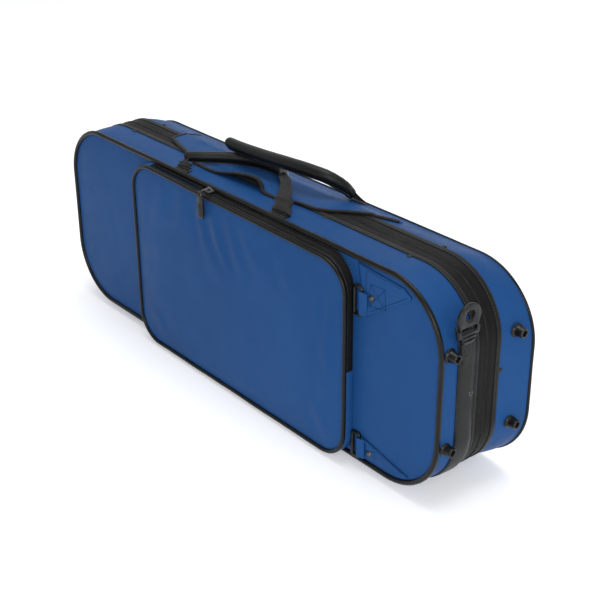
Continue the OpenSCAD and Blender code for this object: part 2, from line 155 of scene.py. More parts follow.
studio_floor()
lamp("lamp_front", (1.9, -1.8, 1.2), (0.15, 0, 0.15), 1.3, 38)
lamp("lamp_top", (0.1, 0.3, 3.0), (0, 0, 0.15), 2.2, 56)
lamp("lamp_end", (3.0, -0.2, 1.1), (0.3, 0, 0.15), 1.3, 12)
world = bpy.data.worlds.new("pale_room")
bpy.context.scene.world = world
world.use_nodes = True
world.node_tree.nodes["Background"].inputs[0].default_value = (0.93, 0.95, 1.0, 1)
world.node_tree.nodes["Background"].inputs[1].default_value = 0.56
print("floor and three lamps")

# %% [markdown]
# ## Shared surface effects
# Cloth, vinyl and plastic share a few effects: a weave, a grain, wear along edges, and dust that
# settles on what faces up. Each is a node group with named inputs, placed where it is wanted.


# %% A small helper to write node groups
class Nodes:
    """Adds nodes to a tree in short lines; a socket or a number may be given as an input."""

    def __init__(self, tree):
        self.tree = tree

    def put(self, socket, value):
        if isinstance(value, bpy.types.NodeSocket):
            self.tree.links.new(value, socket)
        elif value is not None:
            socket.default_value = value

    def add(self, kind, inputs=(), out=0, **settings):
        node = self.tree.nodes.new(kind)
        for key, value in settings.items():
            setattr(node, key, value)
        pairs = inputs.items() if isinstance(inputs, dict) else enumerate(inputs)
        for key, value in pairs:
            self.put(node.inputs[key], value)
        return node.outputs[out]

    def math(self, operation, *values):
        return self.add("ShaderNodeMath", values, operation=operation)

    def blend(self, factor, a, b):
        node = self.tree.nodes.new("ShaderNodeMix")
        node.data_type = "RGBA"
        for i, value in ((0, factor), (6, a), (7, b)):
            self.put(node.inputs[i], value)
        return node.outputs[2]

    def span(self, value, low, high, to_low=0.0, to_high=1.0):
        return self.add("ShaderNodeMapRange", (value, low, high, to_low, to_high))

    def noise(self, vector, scale, detail=3.0, rough=0.5):
        return self.add("ShaderNodeTexNoise",
                        {"Vector": vector, "Scale": scale, "Detail": detail, "Roughness": rough})

    def split(self, vector):
        self.add("ShaderNodeSeparateXYZ", (vector,))
        return self.tree.nodes[-1].outputs

    def bump(self, strength, distance, height, normal=None):
        return self.add("ShaderNodeBump", {"Strength": strength, "Distance": distance,
                                           "Height": height, "Normal": normal})

    def effect(self, kind, *values):
        """Places one of the shared effects and gives its outputs."""
        node = self.tree.nodes.new("ShaderNodeGroup")
        node.node_tree = EFFECTS[kind]
        for socket, value in zip(node.inputs, values):
            self.put(socket, value)
        return node.outputs


def new_group(name, inputs, outputs):
    tree = bpy.data.node_groups.new(name, "ShaderNodeTree")
    for label, kind, value in inputs:
        socket = tree.interface.new_socket(label, in_out="INPUT", socket_type=kind)
        if value is not None:
            socket.default_value = value
    for label, kind in outputs:
        tree.interface.new_socket(label, in_out="OUTPUT", socket_type=kind)
    return (tree, Nodes(tree), tree.nodes.new("NodeGroupInput").outputs,
            tree.nodes.new("NodeGroupOutput").inputs)


FLOAT, VECTOR = "NodeSocketFloat", "NodeSocketVector"


# %% [markdown]
# **Weave.** In a plain weave each thread goes over one and under the next. Two sine waves give the
# round backs of the threads, and the sign of their product picks the squares where the crossing
# thread stands up. In the others it dips.


# %% Weave, rib, grain, wear and dust
def make_weave():
    tree, n, given, made = new_group(
        "Weave", [("Vector", VECTOR, None), ("Threads per metre", FLOAT, 1500.0),
                  ("Slub", FLOAT, 0.3)], [("Height", FLOAT), ("Shade", FLOAT)])
    turns = n.math("MULTIPLY", given["Threads per metre"], math.pi)
    ways = n.split(given["Vector"])[:2]
    waves = [n.math("SINE", n.math("MULTIPLY", way, turns)) for way in ways]
    over = n.math("GREATER_THAN", n.math("MULTIPLY", *waves), 0.0)
    height = n.add("ShaderNodeMix", {0: over, 2: n.math("ABSOLUTE", waves[1]), 3: 0.0})
    uneven = n.noise(given["Vector"], n.math("MULTIPLY", given["Threads per metre"], 0.12), 2.0)
    slub = n.math("MULTIPLY", uneven, given["Slub"])
    n.put(made["Height"], n.math("ADD", n.math("MULTIPLY", height, 0.7), slub))
    n.put(made["Shade"], uneven)
    return tree


def make_rib():
    tree, n, given, made = new_group(
        "Rib", [("Vector", VECTOR, None), ("Ribs per metre", FLOAT, 900.0),
                ("Fuzz", FLOAT, 0.3)], [("Height", FLOAT), ("Shade", FLOAT)])
    turns = n.math("MULTIPLY", given["Ribs per metre"], 2 * math.pi)
    wave = n.math("SINE", n.math("MULTIPLY", n.split(given["Vector"])[0], turns))
    fuzz = n.noise(given["Vector"], n.math("MULTIPLY", given["Ribs per metre"], 0.7), 2.0)
    n.put(made["Height"], n.math("ADD", n.span(wave, -1.0, 1.0, 0.0, 0.7),
                                 n.math("MULTIPLY", fuzz, given["Fuzz"])))
    # Colour follows the rib wave times a random fuzz: darker in the valleys between ribs, which is
    # painted shade in the grooves.
    n.put(made["Shade"], n.math("MULTIPLY", n.span(wave, -1.0, 1.0, 0.6, 1.0), fuzz))
    return tree


def make_grain():
    tree, n, given, made = new_group(
        "Grain", [("Vector", VECTOR, None), ("Scale", FLOAT, 900.0), ("Depth", FLOAT, 1.0)],
        [("Height", FLOAT), ("Shade", FLOAT)])
    cells = n.add("ShaderNodeTexVoronoi", {"Vector": given["Vector"], "Scale": given["Scale"]},
                  feature="DISTANCE_TO_EDGE")
    pores = n.span(cells, 0.0, 0.25)
    fine = n.noise(given["Vector"], n.math("MULTIPLY", given["Scale"], 0.35), 3.0)
    n.put(made["Height"], n.math("MULTIPLY", n.math("ADD", n.math("MULTIPLY", pores, 0.6), fine),
                                 given["Depth"]))
    n.put(made["Shade"], fine)
    return tree


def make_wear():
    tree, n, given, made = new_group(
        "Edge wear", [("Vector", VECTOR, None), ("Amount", FLOAT, 0.5), ("Scale", FLOAT, 60.0)],
        [("Mask", FLOAT)])
    edge = n.span(n.add("ShaderNodeNewGeometry", out="Pointiness"), 0.52, 0.60)
    broken = n.span(n.noise(given["Vector"], given["Scale"], 5.0, 0.65), 0.45, 0.68)
    n.put(made["Mask"], n.math("MULTIPLY", n.math("MULTIPLY", edge, broken), given["Amount"]))
    return tree


def make_dust():
    tree, n, given, made = new_group(
        "Dust", [("Vector", VECTOR, None), ("Amount", FLOAT, 0.15)], [("Mask", FLOAT)])
    facing = n.split(n.add("ShaderNodeNewGeometry", out="Normal"))[2]
    upward_face = n.span(facing, 0.35, 1.0)
    patches = n.span(n.noise(given["Vector"], 22.0, 5.0, 0.6), 0.35, 0.75)
    specks = n.span(n.noise(given["Vector"], 900.0, 1.0), 0.62, 0.75)
    both = n.math("ADD", n.math("MULTIPLY", patches, 0.7), n.math("MULTIPLY", specks, 0.6))
    n.put(made["Mask"], n.math("MULTIPLY", n.math("MULTIPLY", upward_face, both),
                               given["Amount"]))
    return tree


EFFECTS = {"weave": make_weave(), "rib": make_rib(), "grain": make_grain(),
           "wear": make_wear(), "dust": make_dust()}
print("effects:", ", ".join(sorted(EFFECTS)))

# %% [markdown]
# ## Finishes
# Every finish is one recipe: two close colours mixed by a slow noise and the effect's fine tone
# (for the ribbed tapes this holds painted shade in the rib valleys), a height made from the effects
# above, and dust and wear laid over. Only the numbers and the effect differ.


# %% The recipe for a finish
DUST_COLOUR = (0.42, 0.41, 0.40, 1)


def finish(name, dark, light, rough, effect=None, bump=0.2, detail=1500.0, extra=0.3,
           metal=0.0, specular=0.5, sheen=0.0, sheen_rough=0.5, worn=(0.3, 0.3, 0.3), wear=0.0,
           dust=0.1, patch=9.0, creases=0.0, shade=0.35):
    mat = bpy.data.materials.new(name)
    mat.use_nodes = True
    n = Nodes(mat.node_tree)
    shader = mat.node_tree.nodes["Principled BSDF"].inputs
    where = n.add("ShaderNodeTexCoord", out="Object")
    cloth_map = n.add("ShaderNodeUVMap")
    tone = n.span(n.noise(where, patch, 4.0, 0.6), 0.3, 0.7)
    if effect:
        height, fine = n.effect(effect, where if effect == "grain" else cloth_map, detail, extra)
        # For the rib effect, fine carries painted shade in the rib valleys as well as random tone.
        tone = n.math("ADD", n.math("MULTIPLY", tone, 1 - shade), n.math("MULTIPLY", fine, shade))
    else:
        height = n.noise(where, 700.0, 3.0)
    colour = n.blend(tone, (*dark, 1), (*light, 1))
    if wear:
        colour = n.blend(n.effect("wear", where, wear)[0], colour, (*worn, 1))
    if dust:
        colour = n.blend(n.effect("dust", where, dust)[0], colour, DUST_COLOUR)
    uneven = n.noise(where, 45.0, 4.0, 0.6)
    n.put(shader["Base Color"], colour)
    n.put(shader["Roughness"], n.span(uneven, 0.25, 0.75, rough - 0.06, rough + 0.07))
    for socket, value in (("Metallic", metal), ("Specular IOR Level", specular),
                          ("Sheen Weight", sheen), ("Sheen Roughness", sheen_rough)):
        shader[socket].default_value = value
    soft = n.bump(creases, 0.004, n.noise(where, 14.0, 2.0, 0.5)) if creases else None
    n.put(shader["Normal"], n.bump(bump, 0.0005, height, soft))
    return mat


# %% [markdown]
# The cover is a close blue nylon with a slight coating, so it is smooth and a little shiny.
# Piping and end strips are black vinyl, tapes and handles are ribbed or woven black webbing.

# %% All the finishes
NYLON = finish("blue_nylon", (0.008, 0.046, 0.148), (0.013, 0.062, 0.188), 0.42, "weave",
               bump=0.10, detail=1700, extra=0.4, specular=0.05, dust=0.01, patch=6.0,
               creases=0.10, shade=0.25, wear=0.10, worn=(0.05, 0.13, 0.30))
PIPING = finish("piping_vinyl", (0.0022, 0.0022, 0.0021), (0.0041, 0.0040, 0.0037), 0.30, "grain",
                bump=0.12, detail=1400, extra=0.6, specular=0.20, dust=0.015,
                wear=0.2, worn=(0.06, 0.058, 0.052))
STRIP = finish("strip_vinyl", (0.0028, 0.0028, 0.0026), (0.0060, 0.0059, 0.0055), 0.38, "grain",
               bump=0.25, detail=900, extra=0.9, specular=0.21, dust=0.025,
               wear=0.3, worn=(0.06, 0.06, 0.058))
BINDING = finish("binding_tape", (0.0021, 0.0021, 0.0020), (0.0058, 0.0056, 0.0052), 0.55, "rib",
                 bump=0.28, detail=1000, extra=0.4, specular=0.14, sheen=0.05, dust=0.035,
                 shade=0.6)
TAPE = finish("zip_tape", (0.0017, 0.0017, 0.0017), (0.0044, 0.0043, 0.0041), 0.65, "rib",
              bump=0.25, detail=1300, extra=0.5, specular=0.10, sheen=0.04, dust=0.025, shade=0.6)
WEBBING = finish("handle_webbing", (0.0023, 0.0023, 0.0022), (0.0069, 0.0066, 0.0060), 0.55,
                 "weave", bump=0.7, detail=620, extra=0.4, specular=0.15, sheen=0.06, dust=0.030,
                 shade=0.6, wear=0.25, worn=(0.05, 0.05, 0.047))
THREAD = finish("black_thread", (0.008, 0.008, 0.008), (0.02, 0.02, 0.02), 0.6, bump=0.3,
                sheen=0.2, dust=0.1)
GREY_THREAD = finish("grey_thread", (0.05, 0.048, 0.044), (0.09, 0.085, 0.08), 0.6, bump=0.3,
                     sheen=0.2, dust=0.05)
BLUE_THREAD = finish("blue_thread", (0.005, 0.026, 0.085), (0.008, 0.040, 0.13), 0.7,
                     bump=0.3, specular=0.04, dust=0.01)
COIL = finish("zip_coil", (0.0022, 0.0022, 0.0022), (0.0052, 0.0051, 0.0048), 0.34, bump=0.1,
              specular=0.22, dust=0.020)
GRIP = finish("grip_vinyl", (0.0025, 0.0024, 0.0022), (0.0055, 0.0053, 0.0048), 0.36, "grain",
              bump=0.3, detail=700, extra=1.0, specular=0.22, dust=0.025,
              wear=0.3, worn=(0.06, 0.057, 0.05), creases=0.15)
PLASTIC = finish("moulded_plastic", (0.0023, 0.0023, 0.0023), (0.0044, 0.0044, 0.0044), 0.28,
                 bump=0.06, specular=0.26, dust=0.015, wear=0.5, worn=(0.06, 0.06, 0.06))
RUBBER = finish("foot_rubber", (0.0022, 0.0022, 0.0021), (0.0047, 0.0045, 0.0043), 0.27, bump=0.08,
                specular=0.28, dust=0.015, wear=0.5, worn=(0.07, 0.066, 0.06))
STEEL = finish("dark_steel", (0.05, 0.05, 0.052), (0.10, 0.10, 0.10), 0.32, bump=0.05,
               metal=1.0, dust=0.0, wear=0.6, worn=(0.45, 0.45, 0.45))
NICKEL = finish("worn_nickel", (0.06, 0.058, 0.052), (0.13, 0.125, 0.115), 0.26, bump=0.05,
                metal=1.0, dust=0.0)
DARK_METAL = finish("painted_metal", (0.010, 0.010, 0.010), (0.022, 0.022, 0.021), 0.30, bump=0.05,
                    specular=0.5, dust=0.03, wear=0.9, worn=(0.22, 0.21, 0.20))
PLUSH = finish("grey_plush", (0.055, 0.060, 0.070), (0.105, 0.112, 0.125), 0.95, "grain",
               bump=0.8, detail=1600, extra=1.0, specular=0.15, sheen=0.8, sheen_rough=0.35,
               dust=0.0, patch=16.0, creases=0.35, shade=0.5)
BED = finish("blue_plush", (0.020, 0.045, 0.110), (0.045, 0.085, 0.18), 0.95, "grain",
             bump=0.8, detail=1600, extra=1.0, specular=0.15, sheen=0.8, sheen_rough=0.35,
             dust=0.0, patch=16.0, creases=0.35, shade=0.5)
BOARD = finish("shell_board", (0.10, 0.10, 0.105), (0.17, 0.17, 0.175), 0.8, "grain",
               bump=0.4, detail=500, extra=1.0, dust=0.1)

# %% [markdown]
# ## Sewing tools
# A cloth surface is a grid of points, so most pieces here are lofts: rows of points joined by
# four-sided faces, with a map in metres that says where each point was on the flat cloth.
# That map keeps the weave at its true size on every piece.


# %% Meshes from rows of points
def piece(name, verts, faces, material, maps=None, body=None):
    """A mesh from points in millimetres; maps holds one (u, v) in metres for each point."""
    mesh = bpy.data.meshes.new(name)
    mesh.from_pydata(place(verts).tolist(), [], [tuple(int(i) for i in f) for f in faces])
    mesh.update()
    if maps is not None:
        layer = mesh.uv_layers.new(name="cloth")
        index = np.zeros(len(mesh.loops), int)
        mesh.loops.foreach_get("vertex_index", index)
        layer.data.foreach_set("uv", np.asarray(maps, np.float32)[index].ravel())
    mesh.shade_smooth()
    mesh.materials.append(material)
    obj = new_object(name, mesh)
    if body:
        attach(obj, body)
    return obj


def runs(grid):
    """Distances walked along rows and along columns of a grid of points, in metres."""
    along = np.cumsum(np.linalg.norm(np.diff(grid, axis=1, prepend=grid[:, :1]), axis=2), axis=1)
    down = np.cumsum(np.linalg.norm(np.diff(grid, axis=0, prepend=grid[:1]), axis=2), axis=0)
    mean = along.mean(axis=0)
    return np.stack([np.broadcast_to(mean, along.shape), down], axis=2) / 1000


def grid_faces(rows, cols, start=0, flip=False):
    a = start + np.arange(rows * cols).reshape(rows, cols)
    quads = np.stack([a[:-1, :-1], a[:-1, 1:], a[1:, 1:], a[1:, :-1]], axis=2).reshape(-1, 4)
    return (quads[:, ::-1] if flip else quads).tolist()


def unit(v):
    """The same directions, with length one."""
    return v / np.maximum(np.linalg.norm(v, axis=-1, keepdims=True), 1e-9)


def walked(line):
    """How far along a line each of its points lies."""
    return np.cumsum(np.linalg.norm(np.diff(line, axis=0, prepend=line[:1]), axis=1))


def between(s, run, values):
    """Values at distances s, where run says how far along each given value lies."""
    return np.stack([np.interp(s, run, v) for v in values.T], axis=1)


def upright(xz, y=0.0):
    """Pairs of x and z as points at depth y."""
    return np.stack([xz[..., 0], np.broadcast_to(y, xz.shape[:-1]), xz[..., 1]], axis=-1)


def flat_map(along, across):
    """A place on the flat cloth, in metres, for each point of a grid."""
    pairs = np.broadcast_arrays(along[:, None], across[None, :])
    return np.stack(pairs, axis=2).reshape(-1, 2) / 1000


def cap_faces(rows, cols):
    """The two ends of a tube whose last column lies on its first."""
    first = list(range(cols - 1))
    return [first[::-1], [(rows - 1) * cols + j for j in first]]


def cloth(name, grid, thick, material, body=None, flip=False):
    """A sheet with thickness: the grid is its outer face, the inner face lies thick behind it."""
    grid = np.asarray(grid, float)
    rows, cols = grid.shape[:2]
    out = unit(np.cross(np.gradient(grid, axis=1), np.gradient(grid, axis=0)))
    inner = grid - out * (-thick if flip else thick)
    maps = runs(grid).reshape(-1, 2)
    verts = np.concatenate([grid.reshape(-1, 3), inner.reshape(-1, 3)])
    count = rows * cols
    faces = grid_faces(rows, cols, 0, flip) + grid_faces(rows, cols, count, not flip)
    a = np.arange(count).reshape(rows, cols)
    edge = np.concatenate([a[0, :], a[1:, -1], a[-1, -2::-1], a[-2:0:-1, 0]])
    for i, j in zip(edge, np.roll(edge, -1)):
        faces.append((j, i, i + count, j + count) if not flip else (i, j, j + count, i + count))
    return piece(name, verts, faces, material, np.concatenate([maps, maps]), body=body)


def welded(obj, gap=0.00002):
    """Joins points that lie on each other, as where a loft closes on itself."""
    bm = bmesh.new()
    bm.from_mesh(obj.data)
    bmesh.ops.remove_doubles(bm, verts=bm.verts, dist=gap)
    bmesh.ops.recalc_face_normals(bm, faces=bm.faces)
    bm.to_mesh(obj.data)
    bm.free()
    return obj


def gather(name, objs, body=None):
    """Joins several meshes of the same finish into one piece."""
    bm = bmesh.new()
    for o in objs:
        o.data.transform(o.matrix_world)
        bm.from_mesh(o.data)
    first = objs[0]
    bm.to_mesh(first.data)
    bm.free()
    first.data.name = first.name = name
    first.matrix_world = Matrix.Identity(4)
    for o in objs[1:]:
        bpy.data.objects.remove(o)
    if body:
        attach(first, body)
    return first


# %% [markdown]
# ## The outline
# The case, its panels, bands and pocket are all rounded rectangles. One helper walks round any of
# them in nine stretches (half the bottom, corner, side, corner, top, corner, side, corner, the rest
# of the bottom), so rings of different sizes match point for point when they are lofted together.


# %% Walk round a rounded rectangle
class Outline:
    def __init__(self, length, height, radius, x=0.0, low=0.0):
        self.half, self.radius = length / 2 - radius, radius
        self.x, self.low, self.high = x, low + radius, low + height - radius
        quarter, side = math.pi * radius / 2, height - 2 * radius
        self.runs = np.array([self.half, quarter, side, quarter, 2 * self.half, quarter, side,
                              quarter, self.half])
        self.starts = np.concatenate([[0], np.cumsum(self.runs)])
        self.total = self.starts[-1]

    def walk(self, u):
        """Points and outward directions in x and z at stretch numbers u, from 0 to 9."""
        u = np.atleast_1d(np.asarray(u, float))
        k = np.clip(np.floor(u), 0, 8).astype(int)
        f = u - k
        x0, h, r, lo, hi = self.x, self.half, self.radius, self.low, self.high
        corners = {1: (x0 + h, lo, -90), 3: (x0 + h, hi, 0), 5: (x0 - h, hi, 90),
                   7: (x0 - h, lo, 180)}
        lines = {0: ((x0, lo - r), (x0 + h, lo - r)), 2: ((x0 + h + r, lo), (x0 + h + r, hi)),
                 4: ((x0 + h, hi + r), (x0 - h, hi + r)), 6: ((x0 - h - r, hi), (x0 - h - r, lo)),
                 8: ((x0 - h, lo - r), (x0, lo - r))}
        aim_of = {0: (0, -1), 2: (1, 0), 4: (0, 1), 6: (-1, 0), 8: (0, -1)}
        points, out = np.zeros((len(u), 2)), np.zeros((len(u), 2))
        for i in range(9):
            at = k == i
            if i in corners:
                cx, cz, first = corners[i]
                angle = np.radians(first + 90 * f[at])
                out[at] = np.stack([np.cos(angle), np.sin(angle)], axis=1)
                points[at] = np.array([cx, cz]) + r * out[at]
            else:
                a, b = np.array(lines[i][0]), np.array(lines[i][1])
                points[at] = a + (b - a) * f[at][:, None]
                out[at] = aim_of[i]
        return points, out

    def stretch(self, s):
        """Stretch numbers for distances walked, in millimetres."""
        s = np.asarray(s, float) % self.total
        k = np.clip(np.searchsorted(self.starts, s, side="right") - 1, 0, 8)
        return k + (s - self.starts[k]) / self.runs[k]

    def ring(self, u, y, out=0.0):
        """Points in millimetres at depth y, moved outward."""
        p, n = self.walk(u)
        return upright(p + n * np.asarray(out).reshape(-1, 1), y)

    def ways(self, u):
        return upright(self.walk(u)[1])


def even_walk(long=56, short=16, corner=18):
    counts = [long // 2, corner, short, corner, long, corner, short, corner, long // 2]
    return np.concatenate([i + np.arange(c) / c for i, c in enumerate(counts)] + [[9.0]])


WALK = even_walk()


def ripple(points, scale, seed):
    """A slow, repeatable unevenness, from about -1 to 1, at points in millimetres."""
    shift = Vector((seed * 7.3, seed * 3.1, seed * 1.7))
    return np.array([noise.noise(Vector(p) / scale + shift) for p in np.asarray(points)])


case = Outline(LENGTH, HEIGHT, CORNER)
print("round the case:", round(case.total), "mm")


# %% [markdown]
# ** Sweeps and stitches.** Bindings, tapes and piping keep one section all the way round, so their
# section is swept along the outline. A seam is a row of short raised stitches, all in one mesh.


# %% Sweep a section, run a cord, sew a seam
def swept(name, outline, u, section, material, body=None, closed=False, wobble=0.0, seed=1):
    """Sweeps a closed section of (outward, y) points round the stretch u of an outline."""
    loop = np.array([*section, section[0]], float)
    p, n = outline.walk(u)
    lift = wobble * ripple(upright(p), 40, seed)
    if closed:
        lift[-1] = lift[0]
    grid = np.stack([upright(p + n * (off + lift)[:, None], y) for off, y in loop], axis=1)
    faces = grid_faces(len(p), len(loop))
    if not closed:
        faces += cap_faces(len(p), len(loop))
    return welded(piece(name, grid.reshape(-1, 3), faces, material,
                        flat_map(walked(p), walked(loop)), body))


def round_section(radius, sides=12, out=0.0, y=0.0):
    a = np.arange(sides) * 2 * math.pi / sides
    return np.stack([out + radius * np.cos(a), y + radius * np.sin(a)], axis=1)


def flat_section(out, thick, y0, y1, ease=0.5):
    """A flat band from y0 to y1 with softened outer edges."""
    return [(out - thick, y0), (out - ease, y0), (out - ease * 0.3, y0 + ease * 0.3),
            (out, y0 + ease), (out, (y0 + y1) / 2), (out, y1 - ease),
            (out - ease * 0.3, y1 - ease * 0.3), (out - ease, y1), (out - thick, y1)]


def frames(line, up=(0, 0, 1)):
    """Directions ahead, to the side and to the top at each point of a line."""
    ahead = unit(np.gradient(line, axis=0))
    side = unit(np.cross(ahead, up))
    return ahead, side, np.cross(side, ahead)


def tube(name, line, radius, material, body=None, sides=10, ends=True, aspect=1.0, up=(0, 0, 1)):
    """A cord or bar along a line of points."""
    line = np.asarray(line, float)
    _, side, top = frames(line, up)
    a = np.arange(sides + 1) * 2 * math.pi / sides
    grid = line[:, None] + radius * (side[:, None] * np.cos(a)[None, :, None]
                                     + top[:, None] * aspect * np.sin(a)[None, :, None])
    faces = grid_faces(len(line), sides + 1)
    if ends:
        faces += cap_faces(len(line), sides + 1)
    return welded(piece(name, grid.reshape(-1, 3), faces, material,
                        flat_map(walked(line), a * radius), body))


def resample(line, step):
    line = np.asarray(line, float)
    run = walked(line)
    count = max(2, int(round(run[-1] / step)) + 1)
    return between(np.linspace(0, run[-1], count), run, line)


def seam(name, lines, out, material, body=None, pitch=3.4, width=0.34, length=2.5, lift=0.25):
    """Rows of stitches along lines; out is the way they stand proud, or gives it for a point."""
    verts, faces = [], []
    shape = [(-0.5, 0, -0.6), (-0.32, 1, 0.2), (-0.32, -1, 0.2), (0, 1, 0.35), (0, -1, 0.35),
             (0.32, 1, 0.2), (0.32, -1, 0.2), (0.5, 0, -0.6), (-0.2, 0, 1.0), (0.2, 0, 1.0)]
    links = [(0, 1, 8), (0, 8, 2), (1, 3, 8), (8, 3, 9), (2, 8, 4), (8, 9, 4), (3, 5, 9),
             (4, 9, 6), (9, 5, 7), (9, 7, 6), (0, 2, 1), (1, 2, 4, 3), (3, 4, 6, 5), (5, 6, 7)]
    for line in lines:
        points = resample(line, pitch)
        for p, q in zip(points, points[1:]):
            n = unit(np.asarray(out(p) if callable(out) else out, float))
            run = unit(q - p)
            side = np.cross(n, run)
            start = len(verts)
            verts += [(p + q) / 2 + run * a * length + side * b * width + n * c * lift
                      for a, b, c in shape]
            faces += [[start + j for j in f] for f in links]
    return piece(name, verts, faces, material, np.zeros((len(verts), 2)), body)


print("sewing tools ready")

# %% [markdown]
# ## The cover of the two halves
# The side of each half is one long strip of nylon sewn round between the zip band and the piping.
# Cloth over board is never quite flat: it bellies a little and puckers where the piping is sewn in.
# The back half gets lower and a little longer towards its panel, and the lid is slightly shorter
# at its front, so each side is lofted between two outlines and not just pulled straight.

# %% The outlines at the zip band and at the panels
BAND = 22
FRONT_LINE, BACK_LINE = FRONT + 0.5, BACK + 0.5
front_edge = Outline(LENGTH - 10, HEIGHT, 82)
back_edge = Outline(LENGTH + 13, HEIGHT - 9.9, 90, x=3.7, low=-4.5)
FINE = even_walk(150, 42, 30)


def half_ring(half, u, y, out=0.0):
    """Points round one half of the case at depth y, moved outward."""
    edge, far = (front_edge, FRONT_LINE) if half == "lid" else (back_edge, BACK_LINE)
    near = -BAND if half == "lid" else BAND
    t = min(max((y - near) / (far - near), 0), 1)
    t = t * t * (3 - 2 * t) * 0.35 + t * 0.65
    return case.ring(u, y, out) * (1 - t) + edge.ring(u, y, out) * t


def belly(points, share, seed):
    """Cloth swells between its seams and puckers beside them; share is how far across it is."""
    slow = ripple(points, 75, seed) * 0.7 + ripple(points, 30, seed + 3) * 0.3
    gathers = np.sin(walked(points) / 1.55 + 3 * ripple(points, 22, seed + 5))
    pucker = 0.6 * math.exp(-(1 - share) * 9) * math.sin(math.pi * min(share * 1.02, 0.985))
    lift = math.sin(math.pi * share) * (1 + slow) + pucker * gathers
    lift[-1] = lift[0]
    return points + case.ways(FINE) * lift[:, None]


for half, near, far, seed in (("lid", -BAND + 0.6, FRONT_LINE + 1.5, 2),
                              ("base", BAND - 0.6, BACK_LINE - 1, 9)):
    rows = [belly(half_ring(half, FINE, near + (far - near) * f), f, seed)
            for f in np.linspace(0, 1, 15)]
    side = welded(cloth(half + "_side_cover", rows, 1.2, NYLON, half, flip=half == "base"))
    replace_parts(side, half + "_gusset")
print("side covers:", len(side.data.vertices), "points each")

# %% [markdown]
# **Panels.** The front and back are single pieces of nylon stretched over thin foam and board.
# A panel is a grid of columns that ends on the outline, pushed out by a crown that grows with the
# distance from the edge, so it rolls into the piping as the real one does.


# %% Front and back panels
PANEL_ROLL, FRONT_CROWN, BACK_CROWN = 26, 3.0, 2.6


def panel_points(outline, cols, rows):
    """Columns across an outline, closer together in the rounded ends."""
    h, r = outline.half, outline.radius
    bend = r * np.sin(np.linspace(0, math.pi / 2, cols // 5 + 2))
    xs = np.concatenate([-h - bend[::-1], np.linspace(-h, h, cols)[1:-1], h + bend]) + outline.x
    d = np.clip(np.abs(xs - outline.x) - h, 0, r)
    drop = np.sqrt(np.maximum(r * r - d * d, 0))
    v = np.linspace(0, 1, rows)
    v = v * v * (3 - 2 * v) * 0.4 + v * 0.6
    z = (outline.low - drop)[None] + (outline.high - outline.low + 2 * drop)[None] * v[:, None]
    return np.broadcast_to(xs, z.shape), z


def inset(outline, x, z):
    """How far points lie inside an outline, in millimetres."""
    qx = np.abs(x - outline.x) - outline.half
    mid = (outline.low + outline.high) / 2
    qz = np.abs(z - mid) - (outline.high - outline.low) / 2
    out = np.hypot(np.maximum(qx, 0), np.maximum(qz, 0)) + np.minimum(np.maximum(qx, qz), 0)
    return outline.radius - out


def panel(name, outline, y, crown, side, body, node, material=NYLON, thick=1.2, cols=90,
          rows=44, waves=0.5):
    x, z = panel_points(outline, cols, rows)
    d = np.maximum(inset(outline, x, z), 0)
    flat = np.stack([x, 0 * x, z], axis=2).reshape(-1, 3)
    slow = (ripple(flat, 120, 4) + 0.4 * ripple(flat, 45, 6)).reshape(x.shape)
    rise = crown * (1 - np.exp(-d / PANEL_ROLL)) + waves * slow * np.minimum(d / 30, 1)
    grid = np.stack([x, y + side * rise, z], axis=2)
    obj = welded(cloth(name, grid, thick, material, body, flip=side > 0))
    if node:
        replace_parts(obj, node)
    return obj


front_inner = Outline(LENGTH - 14, HEIGHT - 4, 80, low=2)
back_inner = Outline(LENGTH + 10, HEIGHT - 12.9, 88.5, x=3.7, low=-3.0)
panel("lid_front_cover", front_inner, FRONT + 0.8, FRONT_CROWN, -1, "lid", "lid_front_panel")
panel("base_back_cover", back_inner, BACK, BACK_CROWN, 1, "base", "base_back_panel")
print(f"panels crowned by {FRONT_CROWN} and {BACK_CROWN} mm")

# %% [markdown]
# **Piping.** A round cord wrapped in vinyl is caught in the seam round each panel: fat at the
# front, thin at the back. The wrap is never perfectly even, so its path wavers very slightly,
# and a flat lip of it goes down into the seam.


# %% Piping round the front and back panels
def piping(name, outline, y, radius, body, node, seed, lip=2.2, lip_way=1, lip_out=-0.15):
    """The cord, and the flat lip of its wrap that goes down into the seam."""
    section = round_section(radius, 14, out=-0.4, y=y)
    cord = swept(name, outline, FINE, section, PIPING, closed=True, wobble=0.35, seed=seed)
    lip_band = swept(name + "_lip", outline, FINE, [
        (-2.6, y), (-1.4, y), (lip_out, y + lip_way * (radius + lip) * 0.5),
        (lip_out, y + lip_way * (radius + lip)), (-2.6, y + lip_way * (radius + lip))],
        PIPING, closed=True)
    obj = gather(name, [cord, lip_band], body)
    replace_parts(obj, node)
    return obj


piping("lid_front_piping", front_edge, FRONT_LINE, 3.5, "lid", "lid_piping", 3)
piping("base_back_piping", back_edge, BACK_LINE - 1.4, 2.3, "base", "base_piping", 5, lip=0.4,
       lip_way=-1, lip_out=-2.2)
print("piping radius 3.5 in front, 2.3 behind")

# %% [markdown]
# **Zip band.** Across the zip, from the outside in: a ribbed binding over the edge of the cover,
# a strip of zip tape, then the coil. The teeth of the two halves mesh in turn, half a pitch apart,
# and the band stops at the spine, where a plain strip of cloth is the hinge.

# %% Bindings and tapes
HINGE_RUN = case.runs[0] + case.radius * math.acos(1 - (SPINE_CUT - 0.5) / case.radius)
BAND_RUN = np.linspace(HINGE_RUN + 0.8, case.total - HINGE_RUN - 0.8, 420)
band_walk = case.stretch(BAND_RUN)


def band_way(p):
    """Roughly outward at a point on the zip band."""
    z = p[2] - HEIGHT / 2
    if abs(p[0]) < END - CORNER:
        return p[0] / 300, 0, z / 60
    return math.copysign(1, p[0]), 0, z / 200


